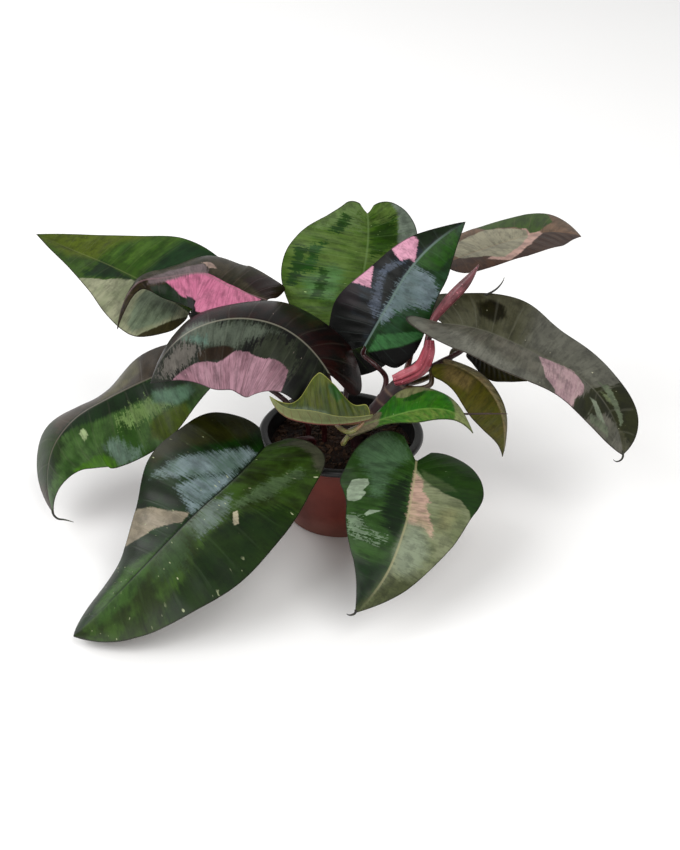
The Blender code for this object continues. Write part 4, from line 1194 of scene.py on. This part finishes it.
class PLANT_OT_leaves(bpy.types.Operator):
    """Build the leaf blades with their skins"""
    bl_idname = "plant.leaves"
    bl_label = "Leaves"

    def execute(self, context):
        settings = context.scene.plant_leaves
        outside = -50.0
        for name, leaf in LEAVES.items():
            look = LOOKS[name]
            size = (settings.rows, settings.columns)
            if name in SMALL:
                size = [count * 2 // 3 for count in size]
            points, faces, field = leaf_shell(leaf, look, *size)
            s, q = field[:, 3], field[:, 4]
            fields = {"vein": field[:, :3], "flat": field[:, 3:]}
            # each patch_ field holds the distances to three patches, or outside where there are fewer
            reach = [distance_inside(corners, s, q) for _, _, _, *corners in PATCHES[name]]
            for first in range(0, len(reach), 3):
                three = (reach[first:first + 3] + [np.full_like(s, outside)] * 2)[:3]
                fields["patch_%d" % (first // 3)] = np.stack(three, 1)
            make_piece("blade_" + name, points, faces, leaf_material(name, look),
                       ["leaf_" + name], fields=fields)
        skin = stalk_material("curled_tip_skin", (46, 50, 28), (38, 32, 26), 0.5)
        points, faces, place = join([tube_mesh(path, (0.85, 0.8, 0.7, 0.5, 0.2), 40, 10)
                                     for path in CURLED_TIPS])
        make_piece("curled_tips", points, faces, skin, [], fields={"place": place})
        return {"FINISHED"}


class PLANT_OT_stage(bpy.types.Operator):
    """Build the floor, the lights and the camera"""
    bl_idname = "plant.stage"
    bl_label = "Stage"

    def execute(self, context):
        scene = context.scene
        settings = scene.plant_stage
        side = 7.0
        mesh = bpy.data.meshes.new("floor")
        mesh.from_pydata([(-side, -side, 0), (side, -side, 0), (side, side, 0), (-side, side, 0)], [],
                         [(0, 1, 2, 3)])
        g = Graph("floor_paint")
        tone = tuple(settings.floor_tone)
        darker = paint(*(c - 2 for c in tone), 1.0, 0.0)
        g.surface(Base_Color=g.mix(g.noise(g.place(), 3.0), paint(*tone, 1.0, 0.0), darker), Roughness=0.9,
                  Specular_IOR_Level=0.1)
        mesh.materials.append(g.material)
        floor = bpy.data.objects.new("floor", mesh)
        scene.collection.objects.link(floor)

        world = bpy.data.worlds.new("studio")
        world.use_nodes = True
        shine = world.node_tree.nodes["Background"]
        shine.inputs["Color"].default_value = (1.0, 0.995, 0.985, 1.0)
        shine.inputs["Strength"].default_value = settings.surroundings
        scene.world = world
        scene.view_settings.view_transform = "Standard"
        for name, (share, size, place, target, tone) in SOFTBOXES.items():
            light = bpy.data.lights.new(name, "AREA")
            light.energy, light.size, light.color = settings.softbox * share, size, tone
            lamp = bpy.data.objects.new(name, light)
            scene.collection.objects.link(lamp)
            lamp.location = place
            lamp.rotation_euler = (Vector(place) - Vector(target)).to_track_quat("Z", "Y").to_euler()

        pitch = math.radians(CAMERA_PITCH)
        ahead = np.array([0.0, math.cos(pitch), -math.sin(pitch)])
        right = np.array([1.0, 0.0, 0.0])
        up, right = turned(np.cross(right, ahead), right, math.radians(CAMERA_ROLL))
        pose = np.eye(4)
        pose[:3] = np.stack([right, up, -ahead, np.array(CAMERA_TARGET) - ahead * CAMERA_DISTANCE], 1)
        camera = bpy.data.cameras.new("camera")
        camera.sensor_width = 36.0
        camera.lens = CAMERA_FOCUS * camera.sensor_width
        holder = bpy.data.objects.new("camera", camera)
        scene.collection.objects.link(holder)
        holder.matrix_world = Matrix(pose.tolist())
        scene.camera = holder
        return {"FINISHED"}


class VIEW3D_PT_potted_plant(bpy.types.Panel):
    """Panel with the steps that build the plant"""
    bl_label = "Potted philodendron"
    bl_space_type = "VIEW_3D"
    bl_region_type = "UI"
    bl_category = "Plant"

    def draw(self, context):
        for group in GROUPS:
            box = self.layout.box()
            settings = getattr(context.scene, group)
            for key in settings.bl_rna.properties.keys():
                if key not in ("rna_type", "name"):
                    box.prop(settings, key)
            box.operator(group.replace("_", "."))


GROUPS = {"plant_pots": PotSettings, "plant_soil": SoilSettings, "plant_stems": StemSettings,
          "plant_leaves": LeafSettings, "plant_stage": StageSettings}
CLASSES = (*GROUPS.values(), PLANT_OT_pots, PLANT_OT_soil, PLANT_OT_stems, PLANT_OT_leaves,
           PLANT_OT_stage, VIEW3D_PT_potted_plant)


def register():
    for kind in CLASSES:
        bpy.utils.register_class(kind)
    for name, group in GROUPS.items():
        setattr(bpy.types.Scene, name, bpy.props.PointerProperty(type=group))


def unregister():
    for name in GROUPS:
        delattr(bpy.types.Scene, name)
    for kind in reversed(CLASSES):
        bpy.utils.unregister_class(kind)


def main():
    register()
    bpy.ops.plant.pots()
    bpy.ops.plant.soil()
    bpy.ops.plant.stems()
    bpy.ops.plant.leaves()
    bpy.ops.plant.stage()


if __name__ == "__main__":
    main()
